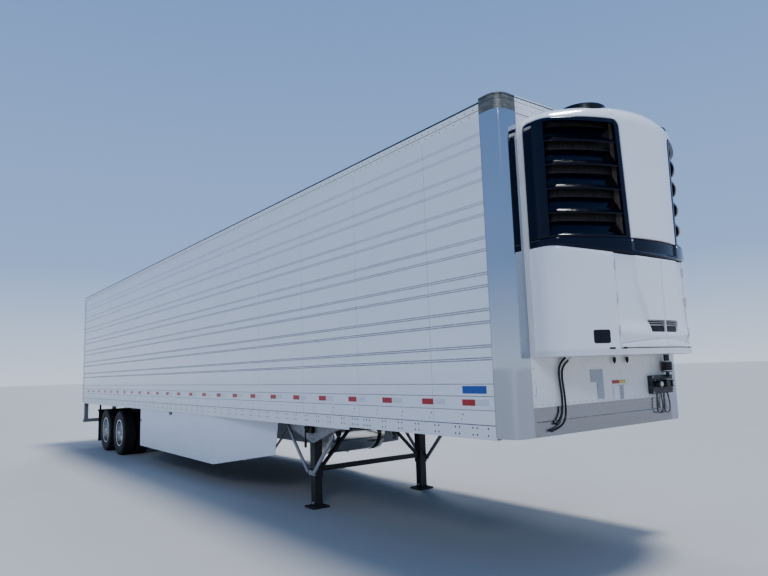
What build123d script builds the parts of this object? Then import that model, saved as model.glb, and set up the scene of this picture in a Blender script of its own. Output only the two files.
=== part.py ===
from build123d import *
import math
import os

os.makedirs("parts", exist_ok=True)

# Overall size in millimetres, x forward, y to the road side, z up
body_length = 16154
unit_depth = 620
bumper_depth = 60
width = 2591
height = 4095

# Walls of the box
side_wall_t = 61
front_wall_t = 100
roof_t = 76
floor_t = 150
door_t = 64
rail_step = 3
skin_step = 5
front_step = 3
roof_step = 4
frame_depth = 130
rear_post_w = 75

# Pressed lines along the side walls
groove_first = 1815
groove_pitch = 314
groove_gap = 108
groove_w = 12
groove_depth = 4

# Heights of the box
rail_bottom = 1130
beam_bottom = 1136
beam_top = 1235
rail_top = 1255
top_rail_h = 135
cap_rise = 35
cap_h = 150
nose_bottom = 1147
band_top = 1390
coupler_plate_t = 8

# Corner posts of the nose
post_side_run = 225
post_front_run = 225.5
post_radius = 120

# Floor beams
beam_first = 1660
beam_pitch = 308
beam_flange = 60
nose_beams = (300, 620, 1210, 1500)

# Kingpin, to the common two inch size
kingpin_back = 914
kingpin_shoulder_d = 73
kingpin_neck_d = 50.8
kingpin_flange_d = 71.4
kingpin_length = 84

# Wheels and axles, placed from the tail
rear_axle_ahead = 2674
axle_spread = 1270
wheel_r = 500
tyre_w = 276
twin_pitch = 318
tyre_inset = 143.5
bead_r = 286
spindle_r = 38
running_fit = 0.1
axle_tube_r = 63.5
tube_end_in = 552
spindle_end_in = 32
hand_holes = 10
hand_hole_r = 27
hand_hole_ring = 192
drum_r = 210
drum_gap = 25

# Slider and bogie
slide_inset = 795.5
slide_w = 100
slide_bottom = 1036
slide_rear_ahead = 1254
slide_front_ahead = 5854
bogie_w = 120
bogie_bottom = 880
bogie_end = 865
hanger_ahead = 500
spring_behind = 370
arm_bottom = 565
arm_top = 665
flap_behind = 1116
flap_top = 920
flap_bottom = 150
flap_inset = 95.5
flap_w = 600

# Landing gear
leg_back = 3861
leg_inset = 401.5
leg_w = 116
collar_w = 124
collar_bottom = 385
collar_top = 488
inner_leg_w = 106
foot_w = 240
foot_t = 25
foot_rim = 12
mount_rail_t = 20
wing_t = 8
brace_w = 18
brace_h = 50
shaft_z = 1030
shaft_r = 16

# Fuel tank
tank_back = 4450
tank_y = 30
tank_z = 848
tank_r = 265
tank_l = 920

# Side skirts
skirt_axle_gap = 1710
skirt_bend = 6450
skirt_front = 4650
skirt_inset = 15.5
skirt_front_inset = 195.5
skirt_bottom = 340
skirt_front_bottom = 620
skirt_rake = 110
skirt_t = 6

# Cooling unit on the nose
unit_half = 1040
unit_bottom = 1810
unit_crown = 4012
unit_shoulder = 3930
unit_front_radius = 1670
unit_corner_r = 200
unit_top_corner_r = 240
unit_brow_r = 140
unit_brow_clear = 3
unit_skin = 35
trim_w = 15
trim_depth = 40
unit_pan_top = 1860
unit_belt_mid = 2650
unit_belt_side = 2750
unit_belt_top = 2800
unit_grille_top = 3856
unit_seam_y = 550
centre_half_low = 360
centre_half_high = 460
unit_gap = 6
knuckle_r = 6
knuckle_pin_r = 3
knuckle_h = 40
knuckle_low = 100
knuckle_pitch = 280
knuckle_count = 3
grille_strip = 55
grille_out = 1020
grille_rim = 30
blade_lip = 8
blade_rise = 146
blade_inset = 6
blade_cut_low = 630
blade_cut_high = 457
slot_low = 1996
slot_high = 2098
slot_in = 8
slot_out_low = 206
slot_out_high = 247
slot_depth = 30

# Rear doors
door_gap = 6
door_meeting = 8
pin_back = 35
barrel_r = 12
hinge_pin_r = 6
rod_r = 13.5
rod_back = 30
hinge_end = 165
hinge_count = 5
strap_h = 60
keeper_in = 45
keeper_h = 40
strap_l = 270.5
inner_rod_y = 250
outer_rod_in = 370.5

# Hoses on the nose
drain_d = 18
drain_x_gap = 22
loop_d = 10

# Derived places
overall = unit_depth + body_length + bumper_depth
nose = overall / 2 - unit_depth
tail = nose - body_length
half = width / 2
top_rail_bottom = height - top_rail_h
cap_top = height + cap_rise
cap_bottom = cap_top - cap_h
rail_face = half - rail_step
skin = half - skin_step
wall_in = skin - side_wall_t
frame_front = tail + frame_depth
post_rear = nose - post_side_run
front_in = nose - front_wall_t
floor_top = beam_top + floor_t
post_front_y = half - post_front_run
outer_tyre_y = half - tyre_inset
tube_end_y = outer_tyre_y - tube_end_in
drum_inner_y = tube_end_y + drum_gap
spindle_end = outer_tyre_y - spindle_end_in
slide_y = half - slide_inset
flap_out = half - flap_inset
flap_in = flap_out - flap_w
leg_y = half - leg_inset
skirt_y = half - skirt_inset
skirt_front_y = half - skirt_front_inset


def box(x0, x1, y0, y1, z0, z1):
    size = Box(x1 - x0, y1 - y0, z1 - z0)
    return Pos((x0 + x1) / 2, (y0 + y1) / 2, (z0 + z1) / 2) * size


def prism_x(points, x0, x1):
    face = make_face(Polyline(*points, close=True))
    return extrude(Plane.YZ.offset(x0) * face, amount=x1 - x0)


def prism_y(points, y0, y1):
    plane = Plane(origin=(0, y1, 0), x_dir=(1, 0, 0), z_dir=(0, -1, 0))
    face = make_face(Polyline(*points, close=True))
    return extrude(plane * face, amount=y1 - y0)


def prism_z(points, z0, z1):
    face = make_face(Polyline(*points, close=True))
    return extrude(Pos(0, 0, z0) * face, amount=z1 - z0)


def rod(start, end, radius):
    run = Vector(*end) - Vector(*start)
    return extrude(Plane(origin=start, z_dir=run) * Circle(radius), amount=run.length)


def bar(start, end, across, high, side=(0, 1, 0)):
    run = Vector(*end) - Vector(*start)
    plane = Plane(origin=start, x_dir=side, z_dir=run)
    return extrude(plane * Rectangle(across, high), amount=run.length)


def drum_y(radius, y0, y1):
    return rod((0, y0, 0), (0, y1, 0), radius)


def spun(points):
    return revolve(Plane.YZ * make_face(Polyline(*points, close=True)), axis=Axis.Y)


def mirrored(shape):
    return mirror(shape, about=Plane.XZ)


def group(shapes):
    return Compound([solid for shape in shapes for solid in shape.solids()])


def pair(shape):
    return group([shape, mirrored(shape)])


# Floor, walls and roof
floor = box(frame_front, front_in, -wall_in, wall_in, beam_top, floor_top)
groove_count = int((top_rail_bottom - groove_first - groove_gap) // groove_pitch) + 1
wall_points = [(wall_in, rail_top), (skin, rail_top)]
for k in range(groove_count):
    for z in (groove_first + groove_pitch * k, groove_first + groove_pitch * k + groove_gap):
        wall_points += [(skin, z - groove_w / 2), (skin - groove_depth, z), (skin, z + groove_w / 2)]
wall_points += [(skin, top_rail_bottom), (wall_in, top_rail_bottom)]
side_wall_left = prism_x(wall_points, frame_front, post_rear)
side_wall_right = mirrored(side_wall_left)
roof_top = height - roof_step
roof = box(frame_front, front_in, -wall_in, wall_in, roof_top - roof_t, roof_top)
wall_face = nose - front_step
front_wall = box(front_in, wall_face, -post_front_y, post_front_y, band_top, top_rail_bottom)

# Rails along the sides
rail_flange = 67.5
rail_shelf = rail_face - rail_flange
rail_web = 8
deep_flange = 30
deep_flange_front = nose - 2460
rail_points = [
    (wall_in, beam_top),
    (wall_in, rail_top),
    (rail_face, rail_top),
    (rail_face, rail_bottom),
    (rail_shelf, rail_bottom),
    (rail_shelf, beam_bottom),
    (rail_face - rail_web, beam_bottom),
    (rail_face - rail_web, beam_top),
]
bottom_rail = prism_x(rail_points, frame_front, post_rear)
flange_low = rail_bottom - deep_flange
bottom_rail += box(frame_front, deep_flange_front, rail_face - rail_web, rail_face, flange_low, rail_bottom)
bottom_rails = pair(bottom_rail)
top_bevel = 14
top_points = [
    (wall_in, top_rail_bottom),
    (rail_face, top_rail_bottom),
    (rail_face, height - top_bevel),
    (rail_face - top_bevel, height),
    (wall_in, height),
]
top_rails = pair(prism_x(top_points, frame_front, post_rear))

# Nose corners, caps, top rail and lower band
corner_plan = make_face(
    Polyline((nose, half - post_radius), (nose, post_front_y), (front_in, post_front_y), (front_in, wall_in),
             (post_rear, wall_in), (post_rear, half), (nose - post_radius, half))
    + RadiusArc((nose - post_radius, half), (nose, half - post_radius), post_radius)
)
corner_post = extrude(Pos(0, 0, nose_bottom) * corner_plan, amount=cap_bottom - nose_bottom)
corner_cap = extrude(Pos(0, 0, cap_bottom) * corner_plan, amount=cap_top - cap_bottom)
corner_posts = pair(corner_post)
corner_caps = pair(corner_cap)
front_top_rail = box(front_in, nose, -post_front_y, post_front_y, top_rail_bottom, cap_top)
nose_band = box(front_in, nose, -post_front_y, post_front_y, nose_bottom, band_top)

# Floor beams
def beam(x, low):
    web = 5
    lip = 6
    points = [
        (x - beam_flange / 2, low),
        (x + beam_flange / 2, low),
        (x + beam_flange / 2, low + lip),
        (x + web / 2, low + lip),
        (x + web / 2, beam_top - lip),
        (x + beam_flange / 2, beam_top - lip),
        (x + beam_flange / 2, beam_top),
        (x - beam_flange / 2, beam_top),
        (x - beam_flange / 2, beam_top - lip),
        (x - web / 2, beam_top - lip),
        (x - web / 2, low + lip),
        (x - beam_flange / 2, low + lip),
    ]
    return prism_y(points, -(rail_face - rail_web), rail_face - rail_web)


plate_top = nose_bottom + coupler_plate_t
beam_count = int((body_length - beam_first - frame_depth - beam_flange) // beam_pitch) + 1
beam_xs = [nose - beam_first - beam_pitch * k for k in range(beam_count)]
nose_beam_xs = [nose - back for back in nose_beams]
floor_beams = group([beam(x, beam_bottom) for x in beam_xs] + [beam(x, plate_top) for x in nose_beam_xs])

# Coupler plate with its kingpin
coupler_rear = nose - beam_first + 100
kingpin_x = nose - kingpin_back
boss = 110
coupler_plate = box(coupler_rear, front_in, -rail_shelf, rail_shelf, nose_bottom, plate_top)
kingpin_table = (
    (kingpin_shoulder_d / 2, 0, 35),
    (kingpin_neck_d / 2, 35, 70),
    (kingpin_flange_d / 2, 70, kingpin_length),
)
for radius, high, low in kingpin_table:
    coupler_plate += rod((kingpin_x, 0, nose_bottom - high), (kingpin_x, 0, nose_bottom - low), radius)
coupler_plate += box(kingpin_x - boss, kingpin_x + boss, -boss, boss, plate_top, beam_top)

# Slide rails with the hangers of the mud flaps
axle_xs = (tail + rear_axle_ahead + axle_spread, tail + rear_axle_ahead)
slide_rear = tail + slide_rear_ahead
slide_front = tail + slide_front_ahead
slide_in = slide_y - slide_w / 2
slide_out = slide_y + slide_w / 2
slide_t = 8
slide_points = [
    (slide_in, slide_bottom),
    (slide_out, slide_bottom),
    (slide_out, beam_bottom),
    (slide_in, beam_bottom),
    (slide_in, beam_bottom - slide_t),
    (slide_out - slide_t, beam_bottom - slide_t),
    (slide_out - slide_t, slide_bottom + slide_t),
    (slide_in, slide_bottom + slide_t),
]
slide_rail = prism_x(slide_points, slide_rear, slide_front)
flap_x = min(beam_xs, key=lambda x: abs(x - (axle_xs[1] - flap_behind)))
hanger = 20
hanger_y = flap_out - 40
slide_rail += box(flap_x - hanger, flap_x + hanger, slide_out, flap_out + hanger, flap_top, flap_top + 2 * hanger)
slide_rail += box(flap_x - hanger, flap_x + hanger, slide_out - 30, slide_out, flap_top, slide_bottom)
slide_rail += box(flap_x - hanger, flap_x + hanger, hanger_y - hanger, hanger_y + hanger, flap_top, beam_bottom)
slide_rails = pair(slide_rail)
mud_flaps = pair(box(flap_x - 5, flap_x + 5, flap_in, flap_out, flap_bottom, flap_top))

# Bogie frame with axle hangers and dampers
bogie_front = axle_xs[0] + bogie_end
bogie_rear = axle_xs[1] - bogie_end
bogie_in = slide_y - bogie_w / 2
bogie_out = slide_y + bogie_w / 2
hanger_t = 20
hanger_bottom = arm_bottom - 35
damper_y = bogie_out + 25
bogie_side = box(bogie_rear, bogie_front, bogie_in, bogie_out, bogie_bottom, slide_bottom)
for axle_x in axle_xs:
    hang_x = axle_x + hanger_ahead
    for y0, y1 in ((slide_in - hanger_t, slide_in), (slide_out, slide_out + hanger_t)):
        bogie_side += box(hang_x - 80, hang_x + 80, y0, y1, hanger_bottom, bogie_bottom)
    bogie_side += rod((axle_x + 185, damper_y, arm_top + 4), (axle_x + 290, damper_y, bogie_bottom + 80), 25)
bogie_sides = pair(bogie_side)
cross_w = 50
cross_xs = (bogie_front - 2 * cross_w, (axle_xs[0] + axle_xs[1]) / 2, bogie_rear + 2 * cross_w)
cross_low = bogie_bottom + hanger_t
cross_high = slide_bottom - hanger_t
bogie_cross_beams = group([box(x - cross_w, x + cross_w, -bogie_in, bogie_in, cross_low, cross_high) for x in cross_xs])

# Axles with spindles, brake plates and brake chambers
chamber_y = slide_in - 120
chamber_z = -20
chamber_r = 88
chamber_ends = (-350, -160)
rod_end = -125


def axle(x):
    shape = drum_y(axle_tube_r, -tube_end_y, tube_end_y)
    shape += drum_y(spindle_r, -spindle_end, spindle_end)
    chamber = rod((chamber_ends[0], chamber_y, chamber_z), (chamber_ends[1], chamber_y, chamber_z), chamber_r)
    chamber += box(chamber_ends[1], -40, chamber_y - 30, chamber_y + 30, chamber_z - 35, chamber_z + 35)
    chamber += rod((rod_end, chamber_y, chamber_z), (rod_end, tube_end_y - 10, chamber_z), 20)
    chamber += drum_y(165, tube_end_y - 15, tube_end_y)
    shape += chamber + mirrored(chamber)
    return Pos(x, 0, wheel_r) * shape


axles = group([axle(x) for x in axle_xs])


# Trailing arms and air springs
def arm(x):
    shape = box(x - 480, x + 560, slide_in, slide_out, arm_bottom, arm_top)
    shape += box(x - 80, x + 95, slide_in, slide_out, 450, arm_bottom)
    shape += box(x + 150, x + 220, slide_out, damper_y + 25, 600, 660)
    return shape - Pos(x, 0, wheel_r) * drum_y(axle_tube_r, 0, tube_end_y)


arm_list = [arm(x) for x in axle_xs]
trailing_arms = group(arm_list + [mirrored(shape) for shape in arm_list])


def air_spring(x):
    low = arm_top + 35
    high = bogie_bottom - 30
    shape = rod((x, slide_y, arm_top), (x, slide_y, low), 85)
    shape += rod((x, slide_y, low), (x, slide_y, high), 115)
    shape += rod((x, slide_y, high), (x, slide_y, bogie_bottom), 95)
    return shape


spring_list = [air_spring(x - spring_behind) for x in axle_xs]
air_springs = group(spring_list + [mirrored(spring) for spring in spring_list])

# Wheels: twin tyres, and twin rims with hub and drum
inner_tyre_y = outer_tyre_y - twin_pitch
mount_y = (outer_tyre_y + inner_tyre_y) / 2
tyre_half = tyre_w / 2
bead_y = 108
tyre_points = [
    (-bead_y, bead_r),
    (-tyre_half, 400),
    (-tyre_half + 4, 468),
    (-112, wheel_r),
    (112, wheel_r),
    (tyre_half - 4, 468),
    (tyre_half, 400),
    (bead_y, bead_r),
]
tyre = spun(tyre_points)
twin_tyres = group([Pos(0, outer_tyre_y, 0) * tyre, Pos(0, inner_tyre_y, 0) * tyre])
rim_points = [
    (-121, 276),
    (121, 276),
    (121, 300),
    (113, 300),
    (113, bead_r),
    (-113, bead_r),
    (-113, 300),
    (-121, 300),
]
disc_points = [
    (0, 80),
    (22, 80),
    (22, 230),
    (62, 276),
    (62, 280),
    (50, 280),
    (0, 245),
]
rim = spun(rim_points)
disc = spun(disc_points)
hand_hole = Pos(0, 0, hand_hole_ring) * drum_y(hand_hole_r, -10, 60)
for k in range(hand_holes):
    disc -= Rot(0, 360 / hand_holes * k, 0) * hand_hole
inner_disc = mirrored(disc)
rims = Pos(0, outer_tyre_y, 0) * rim + Pos(0, mount_y, 0) * disc
rims += Pos(0, inner_tyre_y, 0) * rim + Pos(0, mount_y, 0) * inner_disc
hub_back = mount_y - 273
hub_points = [
    (drum_inner_y, drum_r - 15),
    (drum_inner_y, drum_r),
    (mount_y - 40, drum_r),
    (mount_y - 22, 160),
    (mount_y - 22, 110),
    (mount_y + 40, 110),
    (mount_y + 60, 85),
    (mount_y + 140, 80),
    (mount_y + 165, 60),
    (mount_y + 170, 0),
    (spindle_end + 15, 0),
    (spindle_end + 15, spindle_r + running_fit),
    (hub_back, spindle_r + running_fit),
    (hub_back, 90),
    (mount_y - 80, 100),
    (mount_y - 55, drum_r - 15),
]
rims += spun(hub_points)


def wheel_tyres(x, left):
    shape = Pos(x, 0, wheel_r) * twin_tyres
    return group([shape if left else mirrored(shape)])


def wheel_rims(x, left):
    shape = Pos(x, 0, wheel_r) * rims
    return shape if left else mirrored(shape)


# Rear frame, guard and dock bumpers
post_in = half - rear_post_w
pin_x = tail - pin_back
pin_y = half - barrel_r
door_low = floor_top + door_gap
door_high = top_rail_bottom - door_gap
hinge_pitch = (door_high - door_low - 2 * hinge_end) / (hinge_count - 1)
hinge_zs = [door_low + hinge_end + hinge_pitch * k for k in range(hinge_count)]
rod_ys = (inner_rod_y, post_in - outer_rod_in)
ear = strap_h / 2 + 5
rear_post = box(tail, frame_front, post_in, half, rail_bottom, height)
for z in hinge_zs:
    for z0, z1 in ((z - ear - 30, z - ear), (z + ear, z + ear + 30)):
        rear_post += rod((pin_x, pin_y, z0), (pin_x, pin_y, z1), barrel_r)
        rear_post += box(pin_x, tail, pin_y - barrel_r, half, z0, z1)
    rear_post += rod((pin_x, pin_y, z - ear - 15), (pin_x, pin_y, z + ear + 15), hinge_pin_r)
rear_posts = pair(rear_post)
header_low = top_rail_bottom + keeper_in
sill_low = floor_top - keeper_in - keeper_h
rear_header = box(tail, frame_front, -post_in, post_in, top_rail_bottom, height)
rear_sill = box(tail, frame_front, -post_in, post_in, rail_bottom, floor_top)
for rod_y in rod_ys:
    for y0 in (rod_y - 34, rod_y + 22):
        for y1 in (y0, -y0 - 12):
            rear_header += box(tail - rod_back, tail, y1, y1 + 12, header_low, header_low + keeper_h)
            rear_sill += box(tail - rod_back, tail, y1, y1 + 12, sill_low, sill_low + keeper_h)
rear_cross_rails = group([rear_header, rear_sill])
guard_y = half - 25.5
guard_bottom = 570
guard_top = 660
guard_w = 100
rear_guard = box(tail, tail + guard_w, -guard_y, guard_y, guard_bottom, guard_top)
for y in (-(guard_y - 70), -450, 450, guard_y - 70):
    rear_guard += box(tail + 10, tail + guard_w - 10, y - 50, y + 50, guard_top, rail_bottom)
bumper_low = rail_bottom + 10
dock_bumpers = pair(box(tail - bumper_depth, tail, guard_y - 150, guard_y + 10, bumper_low, bumper_low + 120))

# Rear doors, left one drawn, right one mirrored
strap_in = post_in - strap_l
strap_x = tail - 15
rear_door_left = box(tail, tail + door_t, door_meeting, post_in - door_gap, door_low, door_high)
rear_door_right = mirrored(rear_door_left)
hardware = []
for z in hinge_zs:
    z0 = z - strap_h / 2
    z1 = z + strap_h / 2
    strap = box(strap_x, tail - 5.5, post_in - 20, pin_y, z0, z1)
    strap += box(strap_x, tail, strap_in, post_in - 10, z0, z1)
    strap += box(pin_x, pin_x + 27, pin_y - barrel_r, pin_y, z0, z1)
    strap += rod((pin_x, pin_y, z0), (pin_x, pin_y, z1), barrel_r)
    strap -= rod((pin_x, pin_y, z0 - 1), (pin_x, pin_y, z1 + 1), hinge_pin_r + running_fit)
    hardware.append(strap)
rod_x = tail - rod_back
handle_z = door_low + 325
guide_end = 70
guide_count = 6
guide_pitch = (door_high - door_low - 2 * guide_end) / (guide_count - 1)
for rod_y in rod_ys:
    lock = rod((rod_x, rod_y, sill_low), (rod_x, rod_y, header_low + keeper_h), rod_r)
    for k in range(guide_count):
        z = door_low + guide_end + guide_pitch * k
        lock += box(rod_x, tail, rod_y - 20, rod_y + 20, z - 25, z + 25)
    lock += box(rod_x - 14, rod_x - 2, rod_y - 15, rod_y + 15, handle_z - 25, handle_z + 25)
    lock += box(rod_x - 14, rod_x - 6, rod_y - 230, rod_y - 10, handle_z - 15, handle_z + 15)
    hardware.append(lock)
door_hardware_left = group(hardware)
door_hardware_right = mirrored(door_hardware_left)

# Landing gear: legs with cross beam, shaft, side braces and a crank gearbox
leg_x = nose - leg_back
leg_half = leg_w / 2
collar_half = collar_w / 2
mount_bottom = beam_bottom - mount_rail_t
wing_rear = 860
wing_front = 950
leg = box(leg_x - leg_half, leg_x + leg_half, leg_y - leg_half, leg_y + leg_half, collar_top, mount_bottom)
leg += box(leg_x - collar_half, leg_x + collar_half, leg_y - collar_half, leg_y + collar_half, collar_bottom, collar_top)
leg += box(leg_x - wing_rear, leg_x + wing_front, leg_y - leg_half, leg_y + collar_half, mount_bottom, beam_bottom)
tie_end = leg_y - leg_half
plate_y = leg_y + leg_half
brace_y = plate_y + wing_t
legs = leg + mirrored(leg)
legs += box(leg_x - 30, leg_x + 30, -tie_end, tie_end, collar_top - 33, collar_top + 27)
legs += rod((leg_x, -brace_y - 60, shaft_z), (leg_x, tie_end, shaft_z), shaft_r)
for side in (-1, 1):
    foot_end = (leg_x, side * tie_end, collar_top)
    top_end = (leg_x, side * 200, mount_bottom)
    legs += bar(foot_end, top_end, 50, 30, side=(1, 0, 0))
legs += box(leg_x - 60, leg_x + 60, -270, 270, mount_bottom - 10, mount_bottom)
legs += box(leg_x - 70, leg_x + 80, -brace_y - 45, -brace_y, shaft_z - 70, shaft_z + 70)
legs += rod((leg_x - 50, -brace_y - 75, shaft_z), (leg_x - 50, -brace_y - 40, shaft_z), 14)
legs += rod((leg_x - 50, -brace_y - 63, shaft_z), (leg_x - 50, -brace_y - 63, shaft_z - 260), 10)
landing_legs = legs
inner_half = inner_leg_w / 2
foot_half = foot_w / 2
foot = box(leg_x - foot_half, leg_x + foot_half, leg_y - foot_half, leg_y + foot_half, 0, foot_t)
foot -= box(leg_x - foot_half + foot_rim, leg_x + foot_half - foot_rim,
            leg_y - foot_half + foot_rim, leg_y + foot_half - foot_rim, foot_rim, foot_t)
foot += box(leg_x - inner_half, leg_x + inner_half, leg_y - inner_half, leg_y + inner_half, foot_rim, collar_bottom)
landing_feet = pair(foot)

# Wing plates outside the legs, and the braces that run along them
wing_table = (
    (-wing_rear, mount_bottom),
    (-840, 1075),
    (-10, 832),
    (60, 832),
    (540, 1000),
    (930, 1080),
    (wing_front, mount_bottom),
)
wing = prism_y([(leg_x + ahead, z) for ahead, z in wing_table], plate_y, brace_y)
brace_mid = brace_y + brace_w / 2
brace_low = collar_top - 43
brace_table = (
    (60, brace_low, 560, 957),
    (-90, brace_low, -655, 1035),
)
for low_ahead, low_z, high_ahead, high_z in brace_table:
    start = (leg_x + low_ahead, brace_mid, low_z)
    end = (leg_x + high_ahead, brace_mid, high_z)
    wing += bar(start, end, brace_w, brace_h)
wing += box(leg_x - collar_half, leg_x + collar_half + 20, leg_y + collar_half, brace_y + brace_w, brace_low - 30, brace_low + 30)
wing_right = mirrored(wing) - rod((leg_x, -brace_y - 1, shaft_z), (leg_x, -plate_y + 1, shaft_z), shaft_r + running_fit)
landing_braces = group([wing, wing_right])

# Fuel tank across the frame, with straps
tank_x = nose - tank_back
fuel_tank = Pos(tank_x, tank_y, tank_z) * drum_y(tank_r, -tank_l / 2, tank_l / 2)
strap_t = 6
tank_straps = []
for y in (tank_y - 360, tank_y + 360):
    ring = Pos(tank_x, 0, tank_z) * (drum_y(tank_r + strap_t, y - 30, y + 30) - drum_y(tank_r, y - 30, y + 30))
    ring += box(tank_x - 330, tank_x + 330, y - 30, y + 30, mount_bottom, beam_bottom)
    for x0 in (tank_x - tank_r - 25, tank_x + tank_r + 2):
        ring += box(x0, x0 + 23, y - 30, y + 30, tank_z, mount_bottom)
    tank_straps.append(ring - Pos(tank_x, 0, tank_z) * drum_y(tank_r, y - 40, y + 40))
tank_straps = group(tank_straps)

# Side skirts
skirt_rear_x = axle_xs[0] + skirt_axle_gap
skirt_run = skirt_bend - skirt_front
skirt_tip = nose - skirt_front + skirt_rake
skirt_tip_y = skirt_front_y - skirt_rake * (skirt_y - skirt_front_y) / skirt_run
skirt_points = [
    (skirt_rear_x, skirt_y),
    (nose - skirt_bend, skirt_y),
    (skirt_tip, skirt_tip_y),
    (skirt_tip, skirt_tip_y - skirt_t),
    (nose - skirt_bend, skirt_y - skirt_t),
    (skirt_rear_x, skirt_y - skirt_t),
]
skirt = prism_z(skirt_points, skirt_bottom, rail_bottom)
slope_points = [
    (nose - skirt_bend, skirt_bottom - 20),
    (nose - skirt_bend, skirt_bottom),
    (nose - skirt_front, skirt_front_bottom),
    (skirt_tip, rail_bottom),
    (skirt_tip + 20, rail_bottom),
    (skirt_tip + 20, skirt_bottom - 20),
]
skirt -= prism_y(slope_points, skirt_front_y - 100, skirt_y + 20)
side_skirts = pair(skirt)
bracket_list = []
bracket_xs = [x for x in beam_xs if skirt_rear_x + 60 < x < nose - skirt_front - 60][::3]
for x in bracket_xs:
    ahead = max(0, x - (nose - skirt_bend))
    y = skirt_y - skirt_t - ahead * (skirt_y - skirt_front_y) / skirt_run
    top = rail_bottom if y > rail_shelf else beam_bottom
    bracket = box(x - 20, x + 20, y - 40, y + skirt_t / 2, 640, top)
    bracket += bar((x, y - 20, 660), (x, y - 420, beam_bottom), 30, 20, side=(1, 0, 0))
    bracket -= box(x - 60, x + 60, y - 700, y + 60, top if y > rail_shelf else beam_bottom, beam_top)
    bracket_list.append(bracket - skirt)
skirt_brackets = group(bracket_list + [mirrored(bracket) for bracket in bracket_list])

# Cooling unit block: plan and front outline
def unit_plan(inset, back):
    reach = unit_half - inset
    radius = unit_front_radius - inset
    tip = nose + unit_depth - inset
    side_x = tip - radius + (radius ** 2 - reach ** 2) ** 0.5
    wire = Polyline((side_x, reach), (nose + back, reach), (nose + back, -reach), (side_x, -reach))
    wire += ThreePointArc((side_x, -reach), (tip, 0), (side_x, reach))
    face = make_face(wire)
    corners = [v for v in face.vertices() if v.X > side_x - 1]
    return fillet(corners, unit_corner_r - inset)


def unit_outline(inset, low):
    reach = unit_half - inset
    wire = Polyline((reach, unit_shoulder - inset), (reach, low), (-reach, low), (-reach, unit_shoulder - inset))
    wire += ThreePointArc((-reach, unit_shoulder - inset), (0, unit_crown - inset), (reach, unit_shoulder - inset))
    face = make_face(wire)
    corners = [v for v in face.vertices() if v.Y > low + 10]
    return fillet(corners, unit_top_corner_r - inset)


def unit_block(inset, back, low):
    plan = extrude(Pos(0, 0, low) * unit_plan(inset, back), amount=unit_crown - low + 10)
    outline = extrude(Plane.YZ.offset(nose + back) * unit_outline(inset, low), amount=unit_depth + 10)
    reach = unit_front_radius - inset + unit_brow_clear
    top = unit_crown - inset + 4 * unit_brow_clear
    profile = make_face(
        Polyline((reach, top - unit_brow_r), (reach, low - 10), (0, low - 10), (0, top), (reach - unit_brow_r, top))
        + RadiusArc((reach - unit_brow_r, top), (reach, top - unit_brow_r), unit_brow_r)
    )
    dome = Pos(nose + unit_depth - unit_front_radius, 0, 0) * revolve(Plane.XZ * profile, axis=Axis.Z)
    return plan & outline & dome


unit_shell = unit_block(0, 0, unit_bottom) - unit_block(unit_skin, -1, unit_bottom + 30)
unit_reach = unit_half + 60
belt_face = make_face(
    Polyline((unit_reach, unit_belt_side), (unit_reach, unit_belt_top), (-unit_reach, unit_belt_top), (-unit_reach, unit_belt_side))
    + ThreePointArc((-unit_reach, unit_belt_side), (0, unit_belt_mid), (unit_reach, unit_belt_side))
)
low_face = make_face(
    Polyline((unit_reach, unit_belt_side), (unit_reach, unit_pan_top), (-unit_reach, unit_pan_top), (-unit_reach, unit_belt_side))
    + ThreePointArc((-unit_reach, unit_belt_side), (0, unit_belt_mid), (unit_reach, unit_belt_side))
)
door_face = make_face(
    Polyline((unit_reach, unit_belt_side - unit_gap), (unit_reach, unit_pan_top + unit_gap), (-unit_reach, unit_pan_top + unit_gap),
             (-unit_reach, unit_belt_side - unit_gap))
    + ThreePointArc((-unit_reach, unit_belt_side - unit_gap), (0, unit_belt_mid - unit_gap), (unit_reach, unit_belt_side - unit_gap))
)
through = unit_depth + 80
slab = Plane.YZ.offset(nose - 5)
unit_belt = unit_shell & extrude(slab * belt_face, amount=through)
low_band = unit_shell & extrude(slab * low_face, amount=through)
door_band = unit_shell & extrude(slab * door_face, amount=through)
unit_roof = unit_shell & box(nose - 5, nose + through, -unit_reach, unit_reach, unit_grille_top, unit_crown + 50)
centre_points = [
    (-centre_half_low, unit_belt_top),
    (centre_half_low, unit_belt_top),
    (centre_half_high, unit_grille_top),
    (-centre_half_high, unit_grille_top),
]
centre_cut = prism_x(centre_points, nose - 5, nose + through)
upper_band = unit_shell & box(nose - 5, nose + through, -unit_reach, unit_reach, unit_belt_top, unit_grille_top)
unit_centre_panel = upper_band & centre_cut
grille_band = upper_band - centre_cut
side_strip = box(nose - 5, nose + through, unit_seam_y + unit_gap / 2, unit_reach, unit_bottom, unit_belt_top)
side_panel = low_band & side_strip
hinge_x = nose + unit_depth - unit_front_radius + (unit_front_radius ** 2 - unit_seam_y ** 2) ** 0.5 + 3
door_strip = box(nose + 100, nose + through, unit_gap / 2, unit_seam_y - unit_gap / 2, unit_bottom, unit_belt_top)
unit_door = door_band & door_strip
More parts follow.
